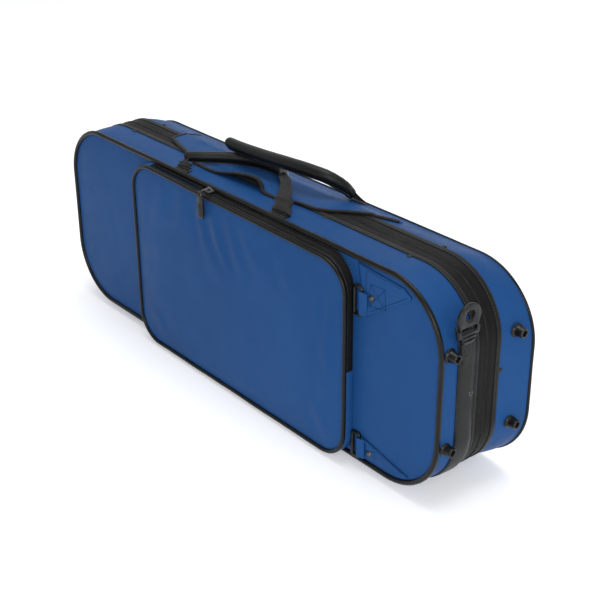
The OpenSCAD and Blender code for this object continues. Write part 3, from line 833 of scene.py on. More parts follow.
for half, s in HALVES:
    edge, inner = s * BAND, s * 15
    low, high = sorted((edge + s * 0.5, inner - s * 0.4))
    bound = swept(half + "_band_binding", case, band_walk, flat_section(1.25, 2.4, low, high, 0.7),
                  BINDING, half, wobble=0.18, seed=11 + s)
    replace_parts(bound, half + "_binding")
    low, high = sorted((inner + s * 0.6, s * 1.9))
    tape = swept(half + "_band_tape", case, band_walk, flat_section(0.15, 1.3, low, high, 0.3),
                 TAPE, half, wobble=0.1, seed=14 + s)
    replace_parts(tape, half + "_zip_tape")
    for k, at in enumerate((edge - s * 0.9, inner + s * 0.9)):
        seam(f"{half}_band_seam_{k}", [case.ring(band_walk, at, 1.2)], band_way, THREAD, half)
print("bindings, tapes and four seams along", round(BAND_RUN[-1] - BAND_RUN[0]), "mm")


# %% Meshing teeth of a coil zip
TOOTH = 0.55


def teeth(name, path, run_from, run_to, s, body=None, pitch=2.0, out=0.7, reach=0.75, back=2.3):
    """Rounded teeth along a path, which gives points and outward ways for distances walked."""
    spots, ways = path(np.arange(run_from + (0.25 - 0.25 * s) * pitch, run_to, pitch))
    cross_way = np.array([0, s, 0.0])
    along = np.cross(ways, cross_way)
    ring = [(math.cos(a), math.sin(a)) for a in np.arange(6) * math.pi / 3]
    stations = [(-back, 0.55), (-back + 0.5, 0.9), (reach - 0.5, 0.9), (reach, 0.5)]
    verts = np.stack([spots + cross_way * d + along * (c * TOOTH * size)
                      + ways * (out + t * TOOTH * 1.1 * size)
                      for d, size in stations for c, t in ring], axis=1).reshape(-1, 3)
    faces = [(i * 6 + j, i * 6 + (j + 1) % 6, i * 6 + 6 + (j + 1) % 6, i * 6 + 6 + j)
             for i in range(3) for j in range(6)]
    faces += [tuple(range(5, -1, -1)), tuple(range(18, 24))]
    every = [[24 * i + v for v in f] for i in range(len(spots)) for f in faces]
    return piece(name, verts, every, COIL, np.zeros((len(verts), 2)), body)


def band_path(run):
    walk = case.stretch(run)
    return case.ring(walk, 0), case.ways(walk)


for half, s in HALVES:
    coil = teeth(half + "_teeth", band_path, BAND_RUN[0] + 1, BAND_RUN[-1] - 1, -s, half)
    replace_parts(coil, half + "_zip_coil")
print("teeth in each half:", len(coil.data.vertices) // 24)

# %% [markdown]
# ** Spine hinge.** One strip of cloth joins the halves along the spine. It is not attached to
# either body.

# %% The cloth hinge
hinge_walk = case.stretch(np.linspace(-HINGE_RUN, HINGE_RUN, 120))
hinge_rows = []
for y in np.linspace(-BAND + 0.3, BAND - 0.3, 31):
    ring = case.ring(hinge_walk, y, 0.15 - 0.5 * math.exp(-(y / 2.5) ** 2))
    ring[:, 2] += 0.15 * ripple(ring, 35, 6)
    hinge_rows.append(ring)
hinge = cloth("spine_hinge_cloth", hinge_rows, 1.2, STRIP, flip=True)
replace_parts(hinge, "base_spine_hinge", "lid_spine_hinge")
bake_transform(hinge)
for half, s in HALVES:
    for k, y in enumerate((s * (BAND - 1.4), s * (BAND - 4.2))):
        seam(f"{half}_hinge_seam_{k}", [case.ring(hinge_walk, y, 0.2)], (0, 0, -1), THREAD, half)
print("hinge", round(2 * HINGE_RUN), "mm long")

# %% [markdown]
# **Board and plush.** Under the cover is a shell of stiff board, and inside it a plush lining
# that rolls over the corner between wall and floor. They only show when the case is open.


# %% Shells and linings
def tray(half, name, y_rim, y_floor, out, thick, material, node, fillet=0.0):
    """One half's wall, with a rounded foot where there is a fillet, and its floor."""
    s = 1 if half == "base" else -1
    rows = [half_ring(half, WALK, y_rim + (y_floor - y_rim) * f * 0.999, out)
            for f in np.linspace(0, 1, 9)]
    if fillet:
        rows = rows[:-1]
        for a in np.linspace(0.15, math.pi / 2, 7):
            y = y_floor - s * fillet * (1 - math.sin(a))
            rows.append(half_ring(half, WALK, y, out - fillet * (1 - math.cos(a))))
            rows[-1][:, 1] = y
        rows.append(half_ring(half, WALK, y_floor, out - fillet - 6))
    wall = cloth(name, rows, thick, material, flip=half == "base")
    edge = front_edge if half == "lid" else back_edge
    d = -out + fillet + 2
    floor_edge = Outline(2 * (edge.half + edge.radius - d), edge.high - edge.low
                         + 2 * (edge.radius - d), edge.radius - d, x=edge.x,
                         low=edge.low - edge.radius + d)
    plate = panel(name + "_floor", floor_edge, y_floor, 0.8, s, None, None, material, thick,
                  cols=40, rows=16, waves=0.3)
    obj = gather(name, [welded(wall), plate], half)
    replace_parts(obj, node)
    return obj


for half, s in HALVES:
    face = FRONT if half == "lid" else BACK
    tray(half, half + "_board", s * 1.6, face - s * 2.6, -1.4, 4.6, BOARD, half + "_shell")
    tray(half, half + "_plush", s * 1.2, face - s * 8.6, -6.1, 2.0, PLUSH, half + "_lining",
         fillet=9)
print("two boards and two linings")

# %% [markdown]
# ## Front pocket
# The pocket is a flat bag sewn on the lid: a front sheet edged with piping, and a narrow side
# strip. Along the top and down the right-hand side that strip is a zip. The bag hangs from its
# top, so it bellies lower down, its front edge drops towards the right, and creases run down from
# the open mouth.

# %% The pocket's outline and its slump
POCKET_FRONT = (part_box("pocket_front")[0].y - ZERO.y) * 1000
low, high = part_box("pocket_gusset")[0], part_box("pocket_zip_tape")[1]
POCKET_LEFT, POCKET_RIGHT = (low.x - ZERO.x) * 1000, (high.x - ZERO.x) * 1000
POCKET_LOW, POCKET_TOP = (low.z - ZERO.z) * 1000, (high.z - ZERO.z) * 1000
POCKET_MID = (POCKET_LEFT + POCKET_RIGHT) / 2
ZIP_MID = (FRONT + POCKET_FRONT + 3.2) / 2
POCKET_CORNER = 42
SEAM_IN = 2.5          # the front sheet ends this far inside the piping
ZIP_LOW = 122          # height of the zip's lower end on the right-hand side
MOUTH = 130            # length of the open stretch of the zip
pocket = Outline(POCKET_RIGHT - POCKET_LEFT, POCKET_TOP - POCKET_LOW, POCKET_CORNER, POCKET_MID,
                 POCKET_LOW)
pocket_inner = Outline(POCKET_RIGHT - POCKET_LEFT - 2 * SEAM_IN,
                       POCKET_TOP - POCKET_LOW - 2 * SEAM_IN, POCKET_CORNER - SEAM_IN, POCKET_MID,
                       POCKET_LOW + SEAM_IN)
ZIP_START = 2 + (ZIP_LOW - pocket.low) / (pocket.high - pocket.low)
ZIP_END = 5.06
SLIDER_X = (sum(c.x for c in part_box("pocket_slider")) / 2 - ZERO.x) * 1000
MOUTH_LEFT = SLIDER_X - MOUTH


def slump(obj):
    """The front edge of the bag drops to the right; what is sewn to the lid stays."""
    mesh = obj.data
    co = np.zeros(len(mesh.vertices) * 3)
    mesh.vertices.foreach_get("co", co)
    co = co.reshape(-1, 3)
    local = (co - np.array(ZERO)) * 1000
    front = np.clip((FRONT - 1 - local[:, 1]) / 13, 0, 1)
    along = np.clip((local[:, 0] - POCKET_LEFT) / (POCKET_RIGHT - POCKET_LEFT), 0, 1)
    upper = np.clip(local[:, 2] / POCKET_TOP, 0, 1) ** 3
    co[:, 2] -= 0.0075 * front * upper * along ** 0.8
    mesh.vertices.foreach_set("co", co.ravel())
    mesh.update()
    return obj


print("pocket", round(POCKET_LEFT), "to", round(POCKET_RIGHT), "mm, slider at", round(SLIDER_X))

# %% [markdown]
# **Creases.** Each crease is a long shallow fold: a ridge and a hollow beside it, strongest in the
# middle of its length. They fan out below the slider, where the cloth is pulled, and run beside
# the right-hand piping, where the sheet is a little too long for its frame.

# %% The front sheet, with its creases
# Each row: x and z where it starts, x and z where it ends, width, depth.
CREASES = [(-16, 264, 30, 178, 9, 1.7), (14, 262, 66, 186, 11, 1.4), (-34, 262, -28, 196, 8, 1.2),
           (46, 260, 96, 204, 10, 1.0), (-70, 262, -96, 205, 12, 1.1), (-22, 214, 22, 150, 16, 1.0),
           (-120, 258, -150, 190, 12, 1.2), (222, 232, 227, 96, 8, 1.3),
           (206, 216, 214, 60, 10, 1.0), (190, 66, 226, 22, 10, 1.1), (-176, 60, -130, 16, 12, 1.0),
           (120, 250, 160, 205, 13, 0.8), (30, 26, 110, 12, 11, 0.9)]


def folds(x, z):
    total = np.zeros_like(x)
    for x0, z0, x1, z1, width, depth in CREASES:
        run = math.hypot(x1 - x0, z1 - z0)
        ax, az = (x1 - x0) / run, (z1 - z0) / run
        t = ((x - x0) * ax + (z - z0) * az) / run
        off = (x - x0) * az - (z - z0) * ax + 4 * np.sin(t * 4 + x0)
        fade = np.clip(np.sin(np.clip(t, 0, 1) * math.pi), 0, 1) ** 0.7
        total += depth * fade * (np.exp(-(off / width) ** 2)
                                 - 0.75 * np.exp(-((off - 1.7 * width) / width) ** 2))
    return total


def pocket_sheet():
    x, z = panel_points(pocket_inner, 130, 84)
    d = np.maximum(inset(pocket_inner, x, z), 0)
    flat = np.stack([x, 0 * x, z], axis=2).reshape(-1, 3)
    slow = (ripple(flat, 95, 21) + 0.5 * ripple(flat, 38, 22)).reshape(x.shape)
    height = (z - POCKET_LOW) / (POCKET_TOP - POCKET_LOW)
    bag = 3.6 * (1 - np.exp(-d / 22)) + 3.2 * np.sin(math.pi * height ** 0.8) * np.minimum(
        d / 60, 1)
    rise = bag + (0.9 * slow + folds(x, z)) * np.minimum(d / 16, 1)
    edge_run = np.arctan2(z - 133, x - POCKET_MID) * 190
    rise += 0.35 * np.sin(edge_run / 1.7) * np.exp(-d / 5) * np.minimum(d / 2, 1)
    grid = np.stack([x, POCKET_FRONT + 1.2 - rise, z], axis=2)
    obj = welded(cloth("pocket_front_sheet", grid, 1.1, NYLON))
    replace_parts(obj, "pocket_front")
    return obj


pocket_front = pocket_sheet()
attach(slump(pocket_front), "lid")
section = round_section(2.8, 14, out=-0.3, y=POCKET_FRONT + 0.6)
pocket_cord = swept("pocket_cord", pocket, FINE, section, PIPING, closed=True, wobble=0.5, seed=31)
lip = swept("pocket_lip", pocket, FINE, [(-1.7, POCKET_FRONT + 0.6), (-0.2, POCKET_FRONT + 0.6),
                                         (0.0, POCKET_FRONT + 4.4), (-1.7, POCKET_FRONT + 4.4)],
            PIPING, closed=True)
pocket_piping = gather("pocket_piping_cord", [pocket_cord, lip], None)
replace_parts(pocket_piping, "pocket_piping")
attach(slump(pocket_piping), "lid")
print("pocket sheet with", len(CREASES), "creases")

# %% [markdown]
# **Side strip and zip.** The side strip bellies outwards. The zip has two tapes with the coil
# between them; from the slider to the left the coil is undone and the mouth stands a little open.


# %% Side strip, tapes and teeth of the pocket
plain_walk = np.concatenate([np.linspace(ZIP_END - 0.02, 9, 150),
                             np.linspace(0, ZIP_START + 0.01, 90)[1:]])
bellied = []
for f in np.linspace(0, 1, 9):
    y = POCKET_FRONT + 3.2 + (FRONT + 0.6 - POCKET_FRONT - 3.2) * f
    ring = pocket.ring(plain_walk, y)
    lift = math.sin(math.pi * f) * (1.3 + 0.78 * ripple(ring, 30, 41) + 0.5 * ripple(ring, 12, 43))
    bellied.append(ring + pocket.ways(plain_walk) * lift[:, None])
side_strip = cloth("pocket_side_strip", bellied, 1.1, NYLON)
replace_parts(side_strip, "pocket_gusset")
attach(slump(welded(side_strip)), "lid")

zip_walk = np.linspace(ZIP_START, ZIP_END, 330)
zip_x, zip_n = pocket.walk(zip_walk)
zip_run = walked(zip_x)
on_top = (zip_walk > 3.6)
open_share = np.clip((SLIDER_X - 6 - zip_x[:, 0]) / 26, 0, 1) * np.clip(
    (zip_x[:, 0] - MOUTH_LEFT + 8) / 16, 0, 1) * on_top
gape_front = 3.0 * open_share * (1 + 0.25 * ripple(np.c_[zip_x[:, 0], 0 * zip_run, zip_run],
                                                   25, 51))
gape_back = 0.7 * open_share


def zip_side(name, y_sewn, s, gape, gap):
    """One tape: from where it is sewn to the edge that carries the teeth."""
    rows = []
    for f in np.linspace(0, 1, 6):
        y_edge = ZIP_MID + s * (gap + gape)
        y = y_sewn + (y_edge - y_sewn) * f
        sink = -1.2 * open_share * f * (1 if s < 0 else 0.3)
        ring = pocket.ring(zip_walk, 0.0, (0.4 + sink + 0.25 * math.sin(math.pi * f)))
        ring[:, 1] = y
        rows.append(ring)
    return cloth(name, rows, 0.9, TAPE, flip=s < 0)


front_tape = zip_side("pocket_tape_front", POCKET_FRONT + 3.4, -1, gape_front, 0.9)
back_tape = zip_side("pocket_tape_back", FRONT + 0.4, 1, gape_back, 0.9)
zip_tapes = gather("pocket_zip_tapes", [welded(front_tape), welded(back_tape)])
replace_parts(zip_tapes, "pocket_zip_tape")
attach(slump(zip_tapes), "lid")


def coil_path(s, gape):
    def at(runs_at):
        p, n = (between(runs_at, zip_run, v) for v in (zip_x, zip_n))
        return upright(p, ZIP_MID + s * np.interp(runs_at, zip_run, gape)), upright(unit(n))
    return at


coils = [teeth(f"pocket_teeth_{k}", coil_path(s, gape), 1, zip_run[-1] - 1, -s, pitch=1.9,
               out=0.9, reach=0.6, back=1.9)
         for k, (s, gape) in enumerate(((-1, gape_front), (1, gape_back)))]
pocket_teeth = gather("pocket_zip_teeth", coils)
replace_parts(pocket_teeth, "pocket_zip_coil")
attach(slump(pocket_teeth), "lid")
for k, y in enumerate((POCKET_FRONT + 4.6, FRONT - 1.2)):
    stitched = seam(f"pocket_zip_seam_{k}", [pocket.ring(zip_walk, y, 0.9)], lambda p: (
        (p[0] > POCKET_RIGHT - 38) * (p[0] - POCKET_RIGHT + 42), 0,
        0.001 + max(p[2] - pocket.high, 0)), THREAD)
    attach(slump(stitched), "lid")
print("pocket zip", round(zip_run[-1]), "mm, open", round(SLIDER_X - MOUTH_LEFT), "mm")

# %% [markdown]
# ## Turned and moulded parts
# Feet, rivets and screws are round, so each is a profile turned about its axis. Rings, plates and
# zip pulls are flat mouldings: an outline with holes, thickened, with a small round on every edge.


# %% Turn a profile, mould a plate
def axes_for(out, along=(0, 0, 1)):
    c = np.asarray(out, float) / np.linalg.norm(out)
    a = np.asarray(along, float) - c * np.dot(along, c)
    if np.linalg.norm(a) < 1e-6:
        a = np.array([1.0, 0, 0]) - c * c[0]
    a /= np.linalg.norm(a)
    return a, np.cross(c, a), c


def turned(name, profile, at, out, material, sides=28):
    a, b, c = axes_for(out)
    angle = np.arange(sides) * 2 * math.pi / sides
    verts, faces = [], []
    for r, h in profile:
        for t in angle:
            verts.append(np.array(at) + a * r * math.cos(t) + b * r * math.sin(t) + c * h)
    for i in range(len(profile) - 1):
        for j in range(sides):
            k = (j + 1) % sides
            faces.append((i * sides + j, i * sides + k, (i + 1) * sides + k, (i + 1) * sides + j))
    return welded(piece(name, verts, faces, material, np.zeros((len(verts), 2))))


def rounded(points, radius, steps=5):
    """Cuts the corners of a flat loop with arcs; radius is one number or one for each corner."""
    points = [np.array(p, float) for p in points]
    radii = radius if hasattr(radius, "__len__") else [radius] * len(points)
    loop = []
    for i, p in enumerate(points):
        before, after = points[i - 1], points[(i + 1) % len(points)]
        to_b, to_a = before - p, after - p
        r = min(radii[i], np.linalg.norm(to_b) * 0.45, np.linalg.norm(to_a) * 0.45)
        s, e = p + to_b / np.linalg.norm(to_b) * r, p + to_a / np.linalg.norm(to_a) * r
        for t in np.linspace(0, 1, steps):
            loop.append((1 - t) ** 2 * s + 2 * t * (1 - t) * p + t * t * e)
    return loop


def disc(x, y, r, n=26, start=0.0, turn_by=2 * math.pi):
    return [(x + r * math.cos(start + turn_by * i / n), y + r * math.sin(start + turn_by * i / n))
            for i in range(n)]


def moulded(name, loops, thick, at, along, out, material, edge=0.5):
    """A flat moulding: loops of (across, along) points, the first is the outside, others holes."""
    curve = bpy.data.curves.new(name, "CURVE")
    curve.dimensions, curve.fill_mode = "2D", "BOTH"
    for loop in loops:
        spline = curve.splines.new("POLY")
        spline.points.add(len(loop) - 1)
        spline.points.foreach_set("co", [v for p in loop for v in (p[0], p[1], 0, 1)])
        spline.use_cyclic_u = True
    curve.extrude, curve.bevel_depth, curve.bevel_resolution = thick / 2 - edge, edge, 2
    curve.offset = -edge
    maker = new_object(name + "_curve", curve)
    mesh = bpy.data.meshes.new_from_object(maker.evaluated_get(
        bpy.context.evaluated_depsgraph_get()))
    bpy.data.objects.remove(maker)
    a, _, c = axes_for(out, along)
    co = np.zeros(len(mesh.vertices) * 3)
    mesh.vertices.foreach_get("co", co)
    co = co.reshape(-1, 3)
    side = np.cross(a, c)
    points = np.array(at) + co[:, :1] * side + co[:, 1:2] * a + co[:, 2:] * c
    faces = [tuple(f.vertices) for f in mesh.polygons]
    bpy.data.meshes.remove(mesh)
    obj = welded(piece(name, points, faces, material, co[:, :2] / 1000), 0.000005)
    sharp = obj.modifiers.new("keep_edges", "EDGE_SPLIT")
    sharp.split_angle = math.radians(50)
    return obj


# %% [markdown]
# ## Feet and studs
# The feet are hollow rubber cones with a screw inside. Small studs rivet the band to the board.

# %% Feet on the spine and the near end, and the studs
FOOT = [(0.1, 0.0), (8.9, 0.0), (9.0, 0.6), (8.5, 1.3), (7.4, 1.9), (6.9, 3.2), (6.5, 6.0),
        (6.1, 10.6), (5.8, 12.2), (5.3, 12.8), (4.5, 12.9), (3.9, 12.5), (3.6, 11.6), (3.4, 7.4),
        (3.1, 7.0), (0.1, 7.0)]
SCREW = [(0.1, 6.5), (2.9, 6.5), (3.0, 8.2), (2.6, 8.9), (1.2, 9.1), (1.0, 8.3), (0.1, 8.3)]
SPINE_FOOT_X, SPINE_FOOT_Y, END_FOOT_Z = 260, 40, 62
STUD = [(0.1, -1.0), (3.2, -1.0), (3.4, 0.3), (3.0, 1.3), (2.0, 2.0), (0.9, 2.3), (0.1, 2.35)]


def feet(half, s):
    places = [((x, s * SPINE_FOOT_Y, 0.2), (0, 0, -1)) for x in (-SPINE_FOOT_X, SPINE_FOOT_X)]
    for z in (HEIGHT / 2 - END_FOOT_Z, HEIGHT / 2 + END_FOOT_Z):
        y = 44 if s > 0 else -57.5
        ring = half_ring(half, np.linspace(2.01, 2.99, 40), y)
        x = np.interp(z, ring[:, 2], ring[:, 0])
        places.append(((x - 0.3, y, z), (1, 0, 0.0)))
    rubber = [turned("foot", FOOT, at, out, RUBBER) for at, out in places]
    screws = [turned("screw", SCREW, at, out, STEEL, 16) for at, out in places]
    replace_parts(gather(half + "_rubber_feet", rubber, half), half + "_feet")
    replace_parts(gather(half + "_feet_screws", screws, half), half + "_foot_screws")


for half, s in HALVES:
    feet(half, s)
    y = s * 24.9
    spots = [((x, y, HEIGHT - 0.4), (0, 0, 1)) for x in
             ((-285, 142, 291) if half == "lid" else (-280, 298))]
    if half == "base":
        spots.append(((END - 0.2, y, 152), (1, 0, 0)))
    studs = [turned("stud", STUD, at, out, PLASTIC, 20) for at, out in spots]
    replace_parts(gather(half + "_studs", studs, half), half + "_rim_rivets")
print("8 feet and 6 studs")

# %% [markdown]
# ## End strips and strap rings
# A smooth strip of vinyl runs down each end of the lid beside the zip. At its top a folded piece of
# webbing and a moulded keeper hold the ring for a shoulder strap. The ring at the near end stands
# up against the case; the one at the far end hangs down.


# %% Strips, keepers and rings
def strip_way(p):
    """Outward at a point of an end strip, which leans where the corner starts."""
    z = p[2] - HEIGHT / 2
    return math.copysign(1, p[0]), 0, max(min(z / 80, 1), -1) * max(0, abs(z) - 54) / 60


def end_strip(name, u0, u1):
    walk = np.linspace(u0, u1, 80)
    rows = [half_ring("lid", walk, -46.5 + 24.6 * f, 1.6 - 0.9 * abs(2 * f - 1) ** 6)
            for f in np.linspace(0, 1, 9)]
    sewn = [seam(name + "_thread", [half_ring("lid", walk, y, 1.6)], strip_way, THREAD)
            for y in (-44.8, -24.4)]
    return welded(cloth(name, rows, 1.5, STRIP)), sewn


strips, threads = [], []
for name, u0, u1 in (("strip_right", 1.27, 3.28), ("strip_left", 5.72, 7.73)):
    strip, sewn = end_strip(name, u0, u1)
    strips.append(strip)
    threads += sewn
eyelet = turned("eyelet", [(1.6, 0.2), (1.7, 1.3), (2.6, 1.7), (3.4, 1.2), (3.7, 0.2)],
                (END + 1.5, -26.5, HEIGHT / 2 + 4), (1, 0, 0), STEEL)
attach(eyelet, "lid")
end_vinyl = gather("end_strips_vinyl", strips, "lid")
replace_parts(end_vinyl, "end_strips")
gather("end_strip_thread", threads, "lid")

RING_X, RING_Y, RING_Z = END + 5.6, -41.0, HEIGHT - 50.0
HANG_Z = 154.0


def keeper(sign, z_mid, up):
    """Moulded keeper over the ring's bar, and the folded webbing that it is sewn through."""
    x = sign * (END + 1.6)
    block_loop = rounded([(-11.5, 3), (11.5, 3), (11.5, -6), (8, -12), (-8, -12), (-11.5, -6)],
                         [2.5, 2.5, 2, 2, 2, 2])
    frame_at = (x + sign * 3.4, RING_Y, z_mid)
    parts = [moulded("block", [block_loop], 6.6, frame_at, (0, 0, up), (sign, 0, 0), PLASTIC, 1.1)]
    for dz in (-2.5, -7.5):
        parts.append(tube("rib", [(x + sign * 6.9, RING_Y - 9.5, z_mid + up * dz),
                                  (x + sign * 7.1, RING_Y, z_mid + up * dz),
                                  (x + sign * 6.9, RING_Y + 9.5, z_mid + up * dz)], 1.0, PLASTIC,
                          sides=8))
    web_loop = rounded([(-8.5, -9), (8.5, -9), (8.8, -33), (0, -44), (-6.8, -33)],
                       [1, 1, 3, 2, 3])
    web = moulded("web", [web_loop], 2.0, (x + sign * 1.0, RING_Y + 1.2, z_mid), (0, 0, up),
                  (sign, 0, 0), WEBBING, 0.5)
    cross = [[(x + sign * 2.1, RING_Y + a, z_mid + up * b) for a, b in line] for line in (
        [(-5, -14), (8, -14), (8, -32), (-5, -32), (-5, -14)], [(-5, -14), (8, -32)],
        [(8, -14), (-5, -32)])]
    sewn = seam("cross", cross, (sign, 0, 0), THREAD, pitch=2.6, length=1.9)
    return parts, web, sewn


blocks, webs, crosses = [], [], []
for sign, z_mid, up in ((1, RING_Z, 1), (-1, HANG_Z, -1)):
    parts, web, sewn = keeper(sign, z_mid, up)
    blocks += parts
    webs.append(web)
    crosses.append(sewn)
keepers = gather("ring_keepers", blocks, "lid")
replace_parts(keepers, "strap_keepers")
gather("ring_keeper_webbing", webs, "lid")
gather("ring_keeper_thread", crosses, "lid")


def strap_ring(node, sign, z_mid, up):
    outside = disc(0, 20, 18, 30, 0.0, math.pi) + [(-18, 20)]
    outside += rounded([(-17.6, 8), (-17, -2.6), (17, -2.6), (17.6, 8)], [3, 2.2, 2.2, 3])
    window = rounded([(-12.2, 2.0), (12.2, 2.0), (12.2, 9.4), (-12.2, 9.4)], 1.8)
    eye = disc(0, 23, 7.2, 30)
    obj = moulded(node + "_moulded", [outside, window, eye], 4.6, (sign * RING_X, RING_Y, z_mid),
                  (0, 0, up), (sign, 0, 0), PLASTIC, 1.2)
    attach(obj, node)
    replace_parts(obj, node)


strap_ring("strap_ring_right", 1, RING_Z, 1)
strap_ring("strap_ring_left", -1, HANG_Z, -1)
print("two strap rings, eyes of 14.4 mm")

# %% [markdown]
# ## Tabs for backpack straps
# A folded patch of the cover cloth is sewn into the seam at two corners of the front. Its folded
# edge holds a small open ring; a cross of stitches and a rivet take the pull.


# %% Tabs, rings and rivets
def front_skin(x, z):
    d = np.maximum(inset(front_inner, x, z), 0)
    return FRONT + 0.8 - FRONT_CROWN * (1 - np.exp(-d / PANEL_ROLL))


TAB_X, TAB_Y = 264.0, FRONT - 3.8


def tab_patch(left, right, lift_low):
    """A patch between a left and a right edge, each a list of (x, z); the free edge stands up."""
    v = np.linspace(0, 1, 24)
    ends = []
    for edge in (left, right):
        edge = np.asarray(edge, float)
        run = walked(edge)
        ends.append(between(v * run[-1], run, edge))
    u = np.linspace(0, 1, 22)[None, :, None]
    flat = ends[0][:, None] * (1 - u) + ends[1][:, None] * u
    x, z = flat[..., 0], flat[..., 1]
    up = v * 4.0
    free = np.clip(1 - up if lift_low else up - 3.0, 0, 1)[:, None]
    middle = np.sin(np.clip(u[..., 0], 0, 1) * math.pi)
    wave = ripple(np.stack([x, 0 * x, z], axis=2).reshape(-1, 3), 14, 61).reshape(x.shape)
    y = front_skin(x, z) - 1.9 - 2.2 * free * middle - 0.35 * wave
    return np.stack([x, y, z], axis=2)


def sleeve_grid(z0, z1):
    """Cloth that goes round the bar of a ring and back under the patch."""
    skin_y = TAB_Y
    bend = [(TAB_X + 10, skin_y - 0.5), (TAB_X + 5, skin_y - 2.4)]
    bend += [(TAB_X + 1 - 3.4 * math.sin(t), skin_y - 3.4 * math.cos(t))
             for t in np.linspace(0, math.pi, 12)]
    bend += [(TAB_X + 6, skin_y + 3.4)]
    zs = np.linspace(z0, z1, 14)
    return [[(x, y, z + 0.4 * math.sin(x)) for z in zs] for x, y in bend]


def tab_thread(paths, off):
    lines = [[(x, front_skin(x, z) - off, z) for x, z in resample(
        [(x, 0, z) for x, z in path], 3)[:, ::2]] for path in paths]
    return seam("tab_thread", lines, (0, -1, 0), BLUE_THREAD, pitch=2.8, length=2.1, lift=0.4)


patches, rivets = [], []
UPPER_LEFT = [(267, 207), (262, 240), (254, 270)]
UPPER_RIGHT = [(271, 207), (343, 256), (330, 264.5)]
LOWER_LEFT = [(267, 9), (267, 37)]
LOWER_RIGHT = [(316, 8), (342, 13), (346, 17), (272, 36)]
for left, right, z0, z1, lift_low in ((UPPER_LEFT, UPPER_RIGHT, HEIGHT - 68, HEIGHT - 38, True),
                                      (LOWER_LEFT, LOWER_RIGHT, 9, 36, False)):
    patches.append(welded(cloth("patch", tab_patch(left, right, lift_low), 1.5, NYLON)))
    patches.append(cloth("sleeve", sleeve_grid(z0, z1), 1.2, NYLON, flip=True))
cross = [(277, 223), (304, 227), (302, 253), (277, 251)]
tab_threads = [
    tab_thread([cross + cross[:1], cross[::2], cross[1::2], [(270, 212), (270, 266)],
                [(272, 266), (326, 262.5)], [(276, 214), (337, 255.5)]], 2.6),
    tab_thread([[(270, 12), (270, 34)], [(274, 33), (338, 19)], [(290, 12), (290, 27)],
                [(272, 12), (290, 27)]], 2.4)]
for x, z in ((280, HEIGHT - 42), (281, 19)):
    rivets.append(turned("rivet", [(0.1, 2.9), (1.4, 2.8), (2.5, 2.2), (3.3, 1.2), (4.0, 0.8),
                                   (4.2, 0.3), (4.0, -0.4), (0.1, -0.4)],
                         (x, front_skin(x, z) - 2.2, z), (0, -1, 0), NICKEL))
tabs = gather("corner_tabs", patches, "lid")
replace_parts(tabs, "pack_tabs")
gather("corner_tab_thread", tab_threads, "lid")
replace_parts(gather("corner_tab_rivets", rivets, "lid"), "tab_rivets")
for name, z0, z1 in (("pack_ring_upper", HEIGHT - 71, HEIGHT - 35), ("pack_ring_lower", 6, 39)):
    loop = Outline(12.2, z1 - z0, 3.0, x=257.9, low=z0)
    ring = swept(name + "_wire", loop, even_walk(8, 12, 8), round_section(2.5, 12, y=TAB_Y),
                 PLASTIC, closed=True)
    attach(ring, name)
    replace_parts(ring, name)
print("two tabs with their rings and rivets")

# %% [markdown]
# ## Zip sliders and pulls
# A slider is a channel of two plates joined by a post at its nose, with a small bridge on top that
# the pull hangs from.


# %% Make a slider and its pull
def slider(name, at, along, out, size=1.0):
    """The plates run along the zip; the bridge stands out from them."""
    a, b, c = axes_for(out, along)
    at = np.asarray(at, float)
    top = rounded([(-4.6, 7), (4.6, 7), (3.4, -7), (-3.4, -7)], [2.6, 2.6, 1.6, 1.6])
    top = [(x * size, y * size) for x, y in top]
    plates = [moulded("plate", [top], 1.5, at + c * 2.4, along, out, DARK_METAL, 0.5)]
    wings = [tube("wing", [at + b * s * 4.2 * size + a * t + c * h for t, h in
                           ((-6, 1.6), (-3, 1.1), (3, 1.1), (6, 1.6))], 0.75, DARK_METAL, sides=8)
             for s in (-1, 1)]
    bridge = tube("bridge", [at + a * t + c * h for t, h in
                             ((5.0, 2.6), (4.4, 4.6), (2.4, 5.5), (-2.4, 5.5), (-4.4, 4.6),
                              (-5.0, 2.6))], 1.0, DARK_METAL, sides=10)
    return gather(name + "_body", plates + wings), bridge


def pull(name, hinge, down, out, length, width):
    """A ring of wire on the bridge, then a flat tab of ribbed rubber."""
    a, _, c = axes_for(out, down)
    hinge = np.asarray(hinge, float)
    side = np.cross(a, c)
    loop = [hinge + side * x + a * y for x, y in rounded(
        [(-2.6, -1.6), (2.6, -1.6), (3.0, 9), (-3.0, 9)], [1.6, 1.6, 1.2, 1.2])]
    wire = tube(name + "_wire", loop + loop[:2], 0.7, DARK_METAL, sides=8, ends=False, up=c)
    w = width / 2
    tab_loop = rounded([(-w * 0.7, 3.5), (w * 0.7, 3.5), (w, 9), (w, length), (-w, length),
                        (-w, 9)], [1.2, 1.2, 2, 1.8, 1.8, 2])
    tab = moulded(name + "_tab", [tab_loop], 2.4, hinge, down, out, PLASTIC, 0.8)
    ribs = [tube("rib", [hinge + side * x + a * y + c * h for x, h in
                         ((-w * 0.7, 1.2), (0, 1.35), (w * 0.7, 1.2))], 0.4, PLASTIC, sides=6)
            for y in np.arange(16, length - 2, 2.4)]
    return wire, gather(name + "_rubber", [tab] + ribs)


